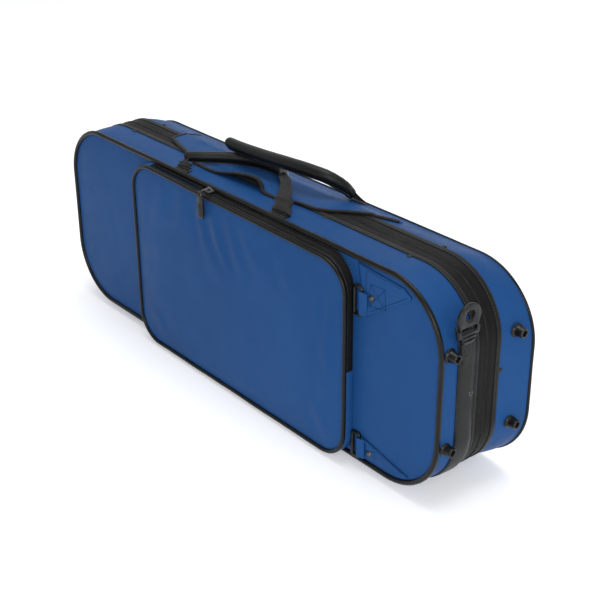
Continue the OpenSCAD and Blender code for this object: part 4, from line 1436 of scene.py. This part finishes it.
pull_low, pull_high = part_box("pocket_pull")
hang_y = (pull_low.y - ZERO.y) * 1000 + 2.2
top_z = (pull_high.z - ZERO.z) * 1000 - 2.2
body, bridge = slider("pocket_slider", (SLIDER_X, ZIP_MID, POCKET_TOP + 1.0), (1, 0, 0), (0, 0, 1))
arm = tube("arm", [(SLIDER_X, ZIP_MID + 1, POCKET_TOP + 5.6), (SLIDER_X, ZIP_MID - 6, POCKET_TOP
           + 5.8), (SLIDER_X, POCKET_FRONT - 3, top_z + 1.6), (SLIDER_X, hang_y + 0.4, top_z)],
           1.3, DARK_METAL, sides=10, aspect=1.0, up=(1, 0, 0))
bridge = gather("pocket_slider_bridge", [bridge, arm], "pocket_slider")
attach(body, "pocket_slider")
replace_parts(body, "pocket_slider")
wire, tab = pull("pocket_pull", (SLIDER_X, hang_y, top_z), (0, 0, -1), (0, -1, 0), 36, 13)
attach(wire, "pocket_pull")
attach(tab, "pocket_pull")
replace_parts(tab, "pocket_pull")
for which, z_share in (("upper", 0.62), ("lower", 0.38)):
    z = HEIGHT * z_share
    body, bridge = slider("zip_slider_" + which, (-END - 1.0, 1.2, z), (0, 0, 1), (-1, 0, 0))
    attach(body, "zip_slider_" + which)
    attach(bridge, "zip_slider_" + which)
    bridge.name = f"zip_slider_{which}_bridge"
    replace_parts(body, "zip_slider_" + which)
    wire, tab = pull("zip_pull_" + which, (-END - 6.6, 0, z - 5), (0, 0, -1), (-1, 0, 0), 34, 9)
    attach(wire, "zip_pull_" + which)
    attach(tab, "zip_pull_" + which)
    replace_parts(tab, "zip_pull_" + which)
print("three sliders and three pulls")

# %% [markdown]
# ## Cover flap
# A flap of the cover cloth is sewn along the back of the top and lies over the zip, under the
# grips. Its loose edge is bound in black. The edge lies flat at both ends and stands up in a fold
# where the near handle has pushed it.

# %% The flap as one loose sheet
FLAP_EDGE = [(-217, 6, 0.6), (-214, -4, 0.6), (-186, -13, 0.3), (-155, -21, 0.2),
             (-116, -35, 0.2), (-88, -38, 0.6), (-67, -37, 1.6), (-46, -34.5, 6), (-26, -33, 11),
             (-4, -31.5, 14.5), (12, -30.5, 15), (21, -30, 13), (26, -31, 8), (29, -33, 2.5),
             (36, -33.5, 0.8), (54, -32.5, 0.4), (75, -25, 0.2), (91, -21.5, 0.2),
             (118, -19.5, 0.4), (135, -10, 0.6), (154, 7, 0.6), (181, 24, 0.8), (207, 41, 1.2)]


def top_surface(y):
    """Height of the top of the case, over its bindings, at depth y."""
    return half_ring("base" if y > 0 else "lid", [4.5], y)[0, 2] + 1.6 * (abs(y) < BAND + 1)


flap_near = resample(FLAP_EDGE, 2.6)
for _ in range(2):
    flap_near[1:-1] = flap_near[1:-1] * 0.5 + (flap_near[:-2] + flap_near[2:]) * 0.25
flap_rows = []
for f in np.linspace(0, 1, 26):
    row = []
    for x, y0, lift in flap_near:
        y = y0 + (47.5 - y0) * f
        x_here = x + (-219 - x if x < -214 else 0) * 0.5 * f
        stand = lift * max(0, 1 - f * 1.9) ** 2.2
        rumple = 0.5 * noise.noise(Vector((x / 34, y / 26, 3.1))) + 0.35
        ease = min(1, f * 8) * min(1, (1 - f) * 5)
        row.append((x_here, y, top_surface(y) + 1.9 + stand + rumple * (0.3 + ease)))
    flap_rows.append(row)
flap_grid = np.array(flap_rows)
flap = cloth("cover_flap", flap_grid, 1.2, NYLON)
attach(flap, "base")
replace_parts(flap, "handle_flap")

near_edge = flap_grid[0] - (0, 0, 0.6)
left_edge = flap_grid[::-1, 0] - (0, 0, 0.6)
bound = tube("flap_bound_edge", resample(np.concatenate([left_edge[:-1], near_edge]), 2.2), 3.0,
             BINDING, "base", sides=12, aspect=1.7 / 3.0)
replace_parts(bound, "flap_binding")
sewn_rows = [flap_grid[-2] + (0, 0, 0.1), flap_grid[-1] + (0, -0.6, 0.15)]
seam("flap_back_seam", sewn_rows, (0, 0.25, 1), BLUE_THREAD, "base")
seam("flap_edge_seam", [near_edge + (0, 2.9, 0.75)], (0, 0, 1), THREAD, "base", lift=0.35)

# %% [markdown]
# ## Grips and webbing
# Each handle is webbing that runs through a padded vinyl sleeve sewn along its underside. A padded
# tube isn't a cylinder: it is fuller in the middle, the wrap creases where it bends, and the sewn
# edges stand up as a ridge. The far grip lies over the near one.


# %% Padded sleeves
def smooth_line(points, step):
    """A smooth curve through points."""
    p = np.asarray(points, float)
    run = walked(p)
    slope = np.gradient(p, run, axis=0)
    s = np.linspace(0, run[-1], max(4, int(run[-1] / step)))
    k = np.clip(np.searchsorted(run, s, side="right") - 1, 0, len(p) - 2)
    h = (run[k + 1] - run[k])[:, None]
    t = ((s - run[k]) / (run[k + 1] - run[k]))[:, None]
    return ((2 * t**3 - 3 * t**2 + 1) * p[k] + (t**3 - 2 * t**2 + t) * h * slope[k]
            + (-2 * t**3 + 3 * t**2) * p[k + 1] + (t**3 - t**2) * h * slope[k + 1])


def grip(name, points, radius, seam_angle, seed, body, node):
    line = smooth_line(points, 1.6)
    count, sides = len(line), 40
    ahead, side, top = frames(line)
    bend = np.linalg.norm(np.gradient(ahead, axis=0), axis=1)
    bend = np.convolve(bend, np.ones(9) / 9, "same")
    run = np.linspace(0, 1, count)
    full = 1 - 0.10 * np.abs(2 * run - 1) ** 3
    nose = np.minimum(np.minimum(run, 1 - run) * count * 1.6 / 6.0, 1)
    full = full * (0.80 + 0.20 * np.sqrt(np.maximum(1 - (1 - nose) ** 2, 0)))
    angles = np.arange(sides + 1) * 2 * math.pi / sides
    way = math.radians(seam_angle)
    near_seam = np.exp(-(np.angle(np.exp(1j * (angles - way))) / 0.13) ** 2)
    grid = np.zeros((count, sides + 1, 3))
    for i in range(count):
        crease = 5.0 * bend[i] * np.sin(i * 1.6 / 1.5 + 1.2 * np.sin(3 * angles + seed))
        swell = np.array([noise.noise(Vector((i / 14 + seed, math.cos(a), math.sin(a))))
                          for a in angles[:-1]])
        swell = np.append(swell, swell[0])
        r = radius * full[i] * (1 + 0.022 * swell) + crease * 0.35
        ridge = radius * 0.24 * near_seam * (1 if 2 < i < count - 3 else 0.3)
        r = r + ridge - radius * 0.05 * np.exp(-(np.angle(np.exp(1j * (angles - way - 0.36)))
                                                 / 0.16) ** 2)
        grid[i] = line[i] + r[:, None] * (side[i] * np.cos(angles)[:, None]
                                          + top[i] * np.sin(angles)[:, None] * 0.97)
    s = np.arange(count) * 0.0016
    maps = np.stack(np.broadcast_arrays(s[:, None], angles[None] * radius / 1000), axis=2)
    faces = grid_faces(count, sides + 1)
    verts = grid.reshape(-1, 3)
    for row, turn_over in ((0, False), (count - 1, True)):
        inner = line[row] + (grid[row] - line[row]) * 0.55 + ahead[row] * (1.6 if row else -1.6)
        start = len(verts)
        verts = np.concatenate([verts, inner])
        maps = np.concatenate([maps.reshape(-1, 2), np.zeros((sides + 1, 2))])
        ring_a = [row * (sides + 1) + j for j in range(sides + 1)]
        for j in range(sides):
            quad = (ring_a[j], ring_a[j + 1], start + j + 1, start + j)
            faces.append(quad if turn_over else quad[::-1])
        cap = [start + j for j in range(sides)]
        faces.append(cap if turn_over else cap[::-1])
    obj = welded(piece(name, verts, faces, GRIP, maps.reshape(-1, 2)), 0.00001)
    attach(obj, body)
    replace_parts(obj, node)
    inside = way + 0.20
    sewn = [line[i] + radius * 1.09 * full[i] * (side[i] * math.cos(inside)
                                                 + top[i] * math.sin(inside))
            for i in range(4, count - 4)]
    seam(name + "_seam", [sewn], lambda p: line[np.argmin(np.linalg.norm(line - p, axis=1))]
         * -1 + p, GREY_THREAD, body, pitch=3.2, lift=0.3)
    return obj, line


T = HEIGHT
FAR_LINE = [(-93, 5.5, T + 29), (-75, 5, T + 29), (-18, 5, T + 31), (40, 6, T + 35),
            (80, 11, T + 35), (100, 19, T + 31), (112, 33, T + 19), (113, 48, T + 2.5)]
NEAR_LINE = [(-123, -46, T + 13), (-106, -33, T + 13.6), (-76, -5, T + 13.6),
             (-55, 10, T + 12.6), (-34, 18, T + 12), (-10, 20.5, T + 11.8), (12, 16, T + 12),
             (29, 3, T + 13)]
far_grip, far_line = grip("far_padded_grip", FAR_LINE, 8.3, -62, 2.0, "far_handle", "far_grip")
near_grip, near_line = grip("near_padded_grip", NEAR_LINE, 7.3, -65, 5.0, "near_handle",
                            "near_grip")
print("grips", round(len(far_line) * 1.6), "and", round(len(near_line) * 1.6), "mm long")


# %% [markdown]
# **Webbing.** The ends of each handle are flat woven straps, folded and sewn to the case. A strap
# is a ribbon swept along a line with its width turned as it goes, so it can lie, twist and fold.

# %% Straps between grips and case
def ribbon(name, points, widths, thick, material, step=2.0):
    """points: centre line; widths: one vector for each point, from edge to edge."""
    points, widths = np.asarray(points, float), np.asarray(widths, float)
    line = smooth_line(points, step)
    run = walked(points)
    wide = between(np.linspace(0, run[-1], len(line)), run, widths)
    grid = np.stack([line + wide * (f - 0.5) for f in np.linspace(0, 1, 9)], axis=1)
    grid[:, :, 2] += (np.linspace(-1, 1, 9) ** 2 - 1) * 0.4
    return cloth(name, grid, thick, material)


def patch(name, x, y, z, tilt, size):
    """The sewn-down end of a strap, with its cross of stitches."""
    w, d = size
    rows = [[(x + w * (f - 0.5), y + d * (g - 0.5), z + tilt * d * (g - 0.5) + 1.6
              - 0.6 * (abs(2 * g - 1) ** 4)) for f in np.linspace(0, 1, 11)]
            for g in np.linspace(0, 1, 7)]
    base = cloth(name, rows, 1.7, WEBBING)
    a, b = w / 2 - 2.5, d / 2 - 2
    path = [(-a, -b), (a, -b), (a, b), (-a, b), (-a, -b), (a, b)], [(-a, b), (a, -b)]
    lines = [[(x + u, y + v, z + tilt * v + 1.7) for u, v in way] for way in path]
    return base, seam(name + "_thread", lines, (0, 0, 1), GREY_THREAD, pitch=2.6, length=1.9)


def sloped(y):
    return (top_surface(y + 3) - top_surface(y - 3)) / 6 if abs(y) > 30 else 0


for half, handle, xs, y, z, tilt, size in (
        ("base", "far", (-105, 112), 60.5, top_surface(60.5) - 0.2, sloped(60.5), (30, 11)),
        ("lid", "near", (-108, 98), -61.2, T + 0.2, 0, (29, 10))):
    ends, sewn = zip(*(patch("anchor", x, y, z, tilt, size) for x in xs))
    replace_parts(gather(handle + "_handle_patches", ends, half), half + "_handle_anchors")
    gather(handle + "_handle_patch_thread", sewn, half)

far_strap = ribbon("far_webbing_left", [
    (-105, 61, top_surface(61) + 2.6), (-105, 55, T - 3.5), (-104, 47, T + 4), (-100, 32, T + 14),
    (-95, 17, T + 23), (-88, 8, T + 27), (-78, 5.5, T + 27.6)],
    [(26, 0, 0), (26, 0, 0), (25, 2, 0), (22, 6, 0), (12, 12, 0), (4, 12, 2), (2, 11, 2)],
    1.8, WEBBING)
far_root = ribbon("far_webbing_right", [
    (112, 61, top_surface(61) + 2.6), (112.5, 55.5, T - 4.5), (113, 50, T + 1), (114, 41, T + 11)],
    [(26, 0, 0), (24, 0, 0), (18, 0, 2), (14, 0, 3)], 1.8, WEBBING)
far_webbing = gather("far_handle_webbing", [far_strap, far_root])
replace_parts(far_webbing, "far_webbing")
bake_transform(far_webbing)

near_right = ribbon("near_webbing_right", [
    (17, 12, T + 13), (30, 2, T + 14.5), (47, -8, T + 16), (64, -22, T + 15), (80, -38, T + 12.5),
    (91, -50, T + 8.5), (97, -57, T + 4), (98, -62, T + 2.4)],
    [(4, 8, 3), (6, 10, 3), (10, 10, 2), (14, 8, 0), (19, 6, 0), (24, 2, 0), (26, 0, 0),
     (26, 0, 0)], 2.2, WEBBING)
near_left = ribbon("near_webbing_left", [
    (-98, -26, T + 13), (-110, -37, T + 12.5), (-117, -45, T + 10.5), (-116, -52.5, T + 6.5),
    (-111, -57.5, T + 3.2), (-108, -62, T + 2.4)],
    [(7, -7, 0), (8, -7, 2), (10, -6, 3), (14, 0, 2), (20, 3, 0), (24, 0, 0)], 1.8, WEBBING)
near_webbing = gather("near_handle_webbing", [near_right, near_left])
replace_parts(near_webbing, "near_webbing")
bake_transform(near_webbing)


def wrap(name, centre, along_way, wide, length, height, material):
    """A stitched sleeve that gathers the strap where it meets the case."""
    a = np.asarray(along_way, float) / np.linalg.norm(along_way)
    w = np.asarray(wide, float)
    up = np.cross(a, w)
    up /= np.linalg.norm(up)
    if up[2] < 0:
        up = -up
    rows = []
    for f in np.linspace(-0.5, 0.5, 12):
        ease = 1 - 0.10 * math.cos(f * 2 * math.pi)
        ring = []
        for t in np.linspace(0, 2 * math.pi, 29):
            c, s = math.cos(t), math.sin(t)
            cx = math.copysign(abs(c) ** 0.55, c) * 0.5 * ease
            cy = math.copysign(abs(s) ** 0.8, s) * height / 2 * (1 + 0.1 * math.sin(9 * f))
            ring.append(np.asarray(centre) + a * length * f + w * cx + up * cy)
        rows.append(ring)
    return welded(cloth(name, rows, 1.0, material, flip=True))


sleeves = [wrap("sleeve", (93.5, -52, T + 8.2), (15, -17, -9), (27, 3, 0), 24, 6.5, WEBBING),
           wrap("sleeve", (-112, -56, T + 4.6), (3, -7, -4), (20, 4, 1), 7, 3.4, WEBBING)]
near_sleeves = gather("near_handle_sleeves", sleeves, None)
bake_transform(near_sleeves)
print("straps, patches and sleeves")

# %% [markdown]
# ## Inside
# The inside is hidden while the case is shut, so it follows what such cases have: a plush bed with
# a hollow for the violin, a padded neck rest with a strap, a small lidded box and places for two
# bows in the lid.

# %% Plush bed with its hollow
def bed_depth(x, z):
    """Depth y of the bed's surface at x, z: the hollow has soft walls."""
    dz = z - HEIGHT / 2
    d = min(math.hypot(x - 268, dz) - 107, math.hypot(x - 102, dz) - 87)
    waist = max(abs(x - 180) - 70, abs(dz) - 80, 38 - math.hypot(x - 180, abs(dz) - 98))
    d = min(d, waist)
    hollow = 1 / (1 + math.exp(max(-40, min(40, (d + 4.5) / 1.7))))
    neck = 0.0
    if x < 62:
        neck = 1 / (1 + math.exp(max(-40, min(40, (abs(dz) - 28) / 1.4))))
    return 12.6 + max(hollow * 38.5, neck * 42.5)


def bed_edge(x):
    """Lowest and highest z of the bed at x, inside the lined wall."""
    low, high, radius = 8.6, HEIGHT - 8.6, CORNER - 8.6
    over = x - (LENGTH / 2 - CORNER)
    drop = radius - math.sqrt(max(0.5, radius**2 - over**2)) if over > 0 else 0
    return low + drop, high - drop


xs = np.concatenate([np.linspace(-230, 300, 150), np.linspace(303, LENGTH / 2 - 9.4, 44)])
bed_rows = []
for v in np.linspace(0, 1, 110):
    row = []
    for x in xs:
        low, high = bed_edge(x)
        z = low + (high - low) * v
        edge = min(z - low, high - z, x + 230, LENGTH / 2 - 8.6 - x)
        soft = 3.0 * math.exp(-edge / 2.2)
        pile = 0.35 * noise.noise(Vector((x / 30, z / 30, 8.0)))
        row.append((x, bed_depth(x, z) + soft + pile, z))
    bed_rows.append(row)
skirt = [[(x, 30, z) for x, y, z in bed_rows[0]], *bed_rows,
         [(x, 30, z) for x, y, z in bed_rows[-1]]]
skirt = [[(row[0][0], 60.6, min(max(row[0][2], 11), 252)), *row, (row[-1][0], 30, row[-1][2])]
         for row in skirt]
bed = cloth("plush_bed", skirt, 0.5, BED, "base", flip=True)
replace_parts(bed, "violin_bed")


# %% [markdown]
# **Small padded pieces.** Each is a block with rounded edges and a slightly swollen face.

# %% Neck rest, strap and box
def pad(name, low, high, material, body, node, radius=3.0, swell=1.2, bore=None):
    """A padded block between two corners; bore cuts a round channel (z, y, radius) along x."""
    low, high = np.array(low, float), np.array(high, float)
    mid, half = (low + high) / 2, (high - low) / 2
    n = 15
    verts, faces = [], []
    for axis in range(3):
        for side in (-1, 1):
            a, b = (axis + 1) % 3, (axis + 2) % 3
            start = len(verts)
            for i in range(n):
                for j in range(n):
                    p = np.zeros(3)
                    p[axis] = side * half[axis]
                    p[a] = (2 * i / (n - 1) - 1) * half[a]
                    p[b] = (2 * j / (n - 1) - 1) * half[b]
                    core = np.clip(p, -(half - radius), half - radius)
                    out = p - core
                    far = np.linalg.norm(out)
                    p = core + out / max(far, 1e-6) * radius
                    u, v = p[a] / half[a], p[b] / half[b]
                    p[axis] -= side * swell * (1 - (1 - u * u) * (1 - v * v))
                    verts.append(mid + p)
            faces += grid_faces(n, n, start, flip=side < 0)
    verts = np.array(verts)
    if bore:
        z, y, r = bore
        near = (np.abs(verts[:, 2] - z) < r) & (verts[:, 1] < mid[1])
        lift = np.sqrt(np.maximum(r**2 - (verts[near, 2] - z) ** 2, 0))
        verts[near, 1] = np.maximum(verts[near, 1], y + lift)
    obj = welded(piece(name, verts, faces, material), 0.00002)
    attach(obj, body)
    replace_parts(obj, node)
    return obj


HALF = HEIGHT / 2
pad("neck_rest", (-127.5, 24.4, HALF - 30.6), (-88.5, 55.6, HALF + 30.6), BED, "base",
    "neck_cradle", radius=4, swell=0.6, bore=(HALF, 24.4, 17))
strap_rows = [[(-108 + 19.4 * (f - 0.5), 10.6 + 0.5 * math.cos(2 * math.pi * g) * (1 - f * f * 0.2),
                HALF + 95 * (g - 0.5)) for g in np.linspace(0, 1, 40)]
              for f in np.linspace(0, 1, 7)]
neck_band = cloth("neck_strap_tape", strap_rows, 1.3, WEBBING, "base")
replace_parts(neck_band, "neck_strap")


def box_walls(name, x0, x1, y0, y1, z0, z1, wall, material, node):
    """A box open towards -y, covered in plush, with rounded rims."""
    rim = wall / 2
    rows = []
    for inset_by, y in ((0, y1), (0, y0 + rim), (rim * 0.3, y0 + rim * 0.3), (rim, y0),
                        (wall - rim * 0.3, y0 + rim * 0.3), (wall, y0 + rim), (wall, y1 - wall)):
        ring = []
        r = max(4 - inset_by, 1.2)
        for cx, cz, a0 in ((x1 - inset_by - r, z1 - inset_by - r, 0),
                           (x0 + inset_by + r, z1 - inset_by - r, 90),
                           (x0 + inset_by + r, z0 + inset_by + r, 180),
                           (x1 - inset_by - r, z0 + inset_by + r, 270)):
            for k in range(6):
                a = math.radians(a0 + 18 * k)
                ring.append((cx + r * math.cos(a), y, cz + r * math.sin(a)))
        rows.append(ring + ring[:1])
    verts = np.array(rows).reshape(-1, 3)
    cols = len(rows[0])
    faces = grid_faces(len(rows), cols)
    faces.append([(len(rows) - 1) * cols + j for j in range(cols - 1)])
    faces.append([j for j in range(cols - 1)][::-1])
    obj = welded(piece(name, verts, faces, material), 0.00002)
    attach(obj, "base")
    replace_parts(obj, node)
    return obj


box_walls("covered_box", -291.7, -234.3, 12.3, 60.6, 150.3, 255, 3, PLUSH, "accessory_box")
pad("box_lid_board", (-291.7, 8.9, 150.3), (-234.3, 11.6, 255), PLUSH, "accessory_lid",
    "accessory_lid", radius=1.2, swell=0.1)
tab_rows = [[(-300.6 + 11 * f, 9.3 + 0.2 * math.sin(9 * f), 198.6 + 10.8 * g)
             for g in np.linspace(0, 1, 6)] for f in np.linspace(0, 1, 8)]
cloth("box_lid_tab", tab_rows, 0.8, WEBBING, "accessory_lid", flip=True)


# %% Bow sleeves and clips in the lid
def bow_sleeve(z):
    """A flat sleeve open towards +x that holds the tip of a bow."""
    rows = []
    for f in np.linspace(0, 1, 16):
        x = -344 + 60.6 * f
        ring = []
        for t in np.linspace(0, 2 * math.pi, 33):
            c, s = math.cos(t), math.sin(t)
            full = 1 - 0.55 * max(0, 1 - f * 5) ** 2
            ring.append((x, -55.3 + math.copysign(abs(s) ** 0.6, s) * 5.7 * full,
                         z + math.copysign(abs(c) ** 0.5, c) * 13.2))
        rows.append(ring)
    return welded(cloth("sleeve", rows, 1.1, BED, flip=True))


bow_sleeves = gather("bow_sleeves", [bow_sleeve(95), bow_sleeve(181)], "lid")
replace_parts(bow_sleeves, "bow_tip_sleeves")
for node in ("bow_clip_blocks", "bow_clip_upper", "bow_clip_lower"):
    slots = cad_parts[node].data.materials
    if not slots:
        slots.append(PLASTIC)
    for i in range(len(slots)):
        slots[i] = PLASTIC
print("bed, neck rest, box, sleeves and clips")
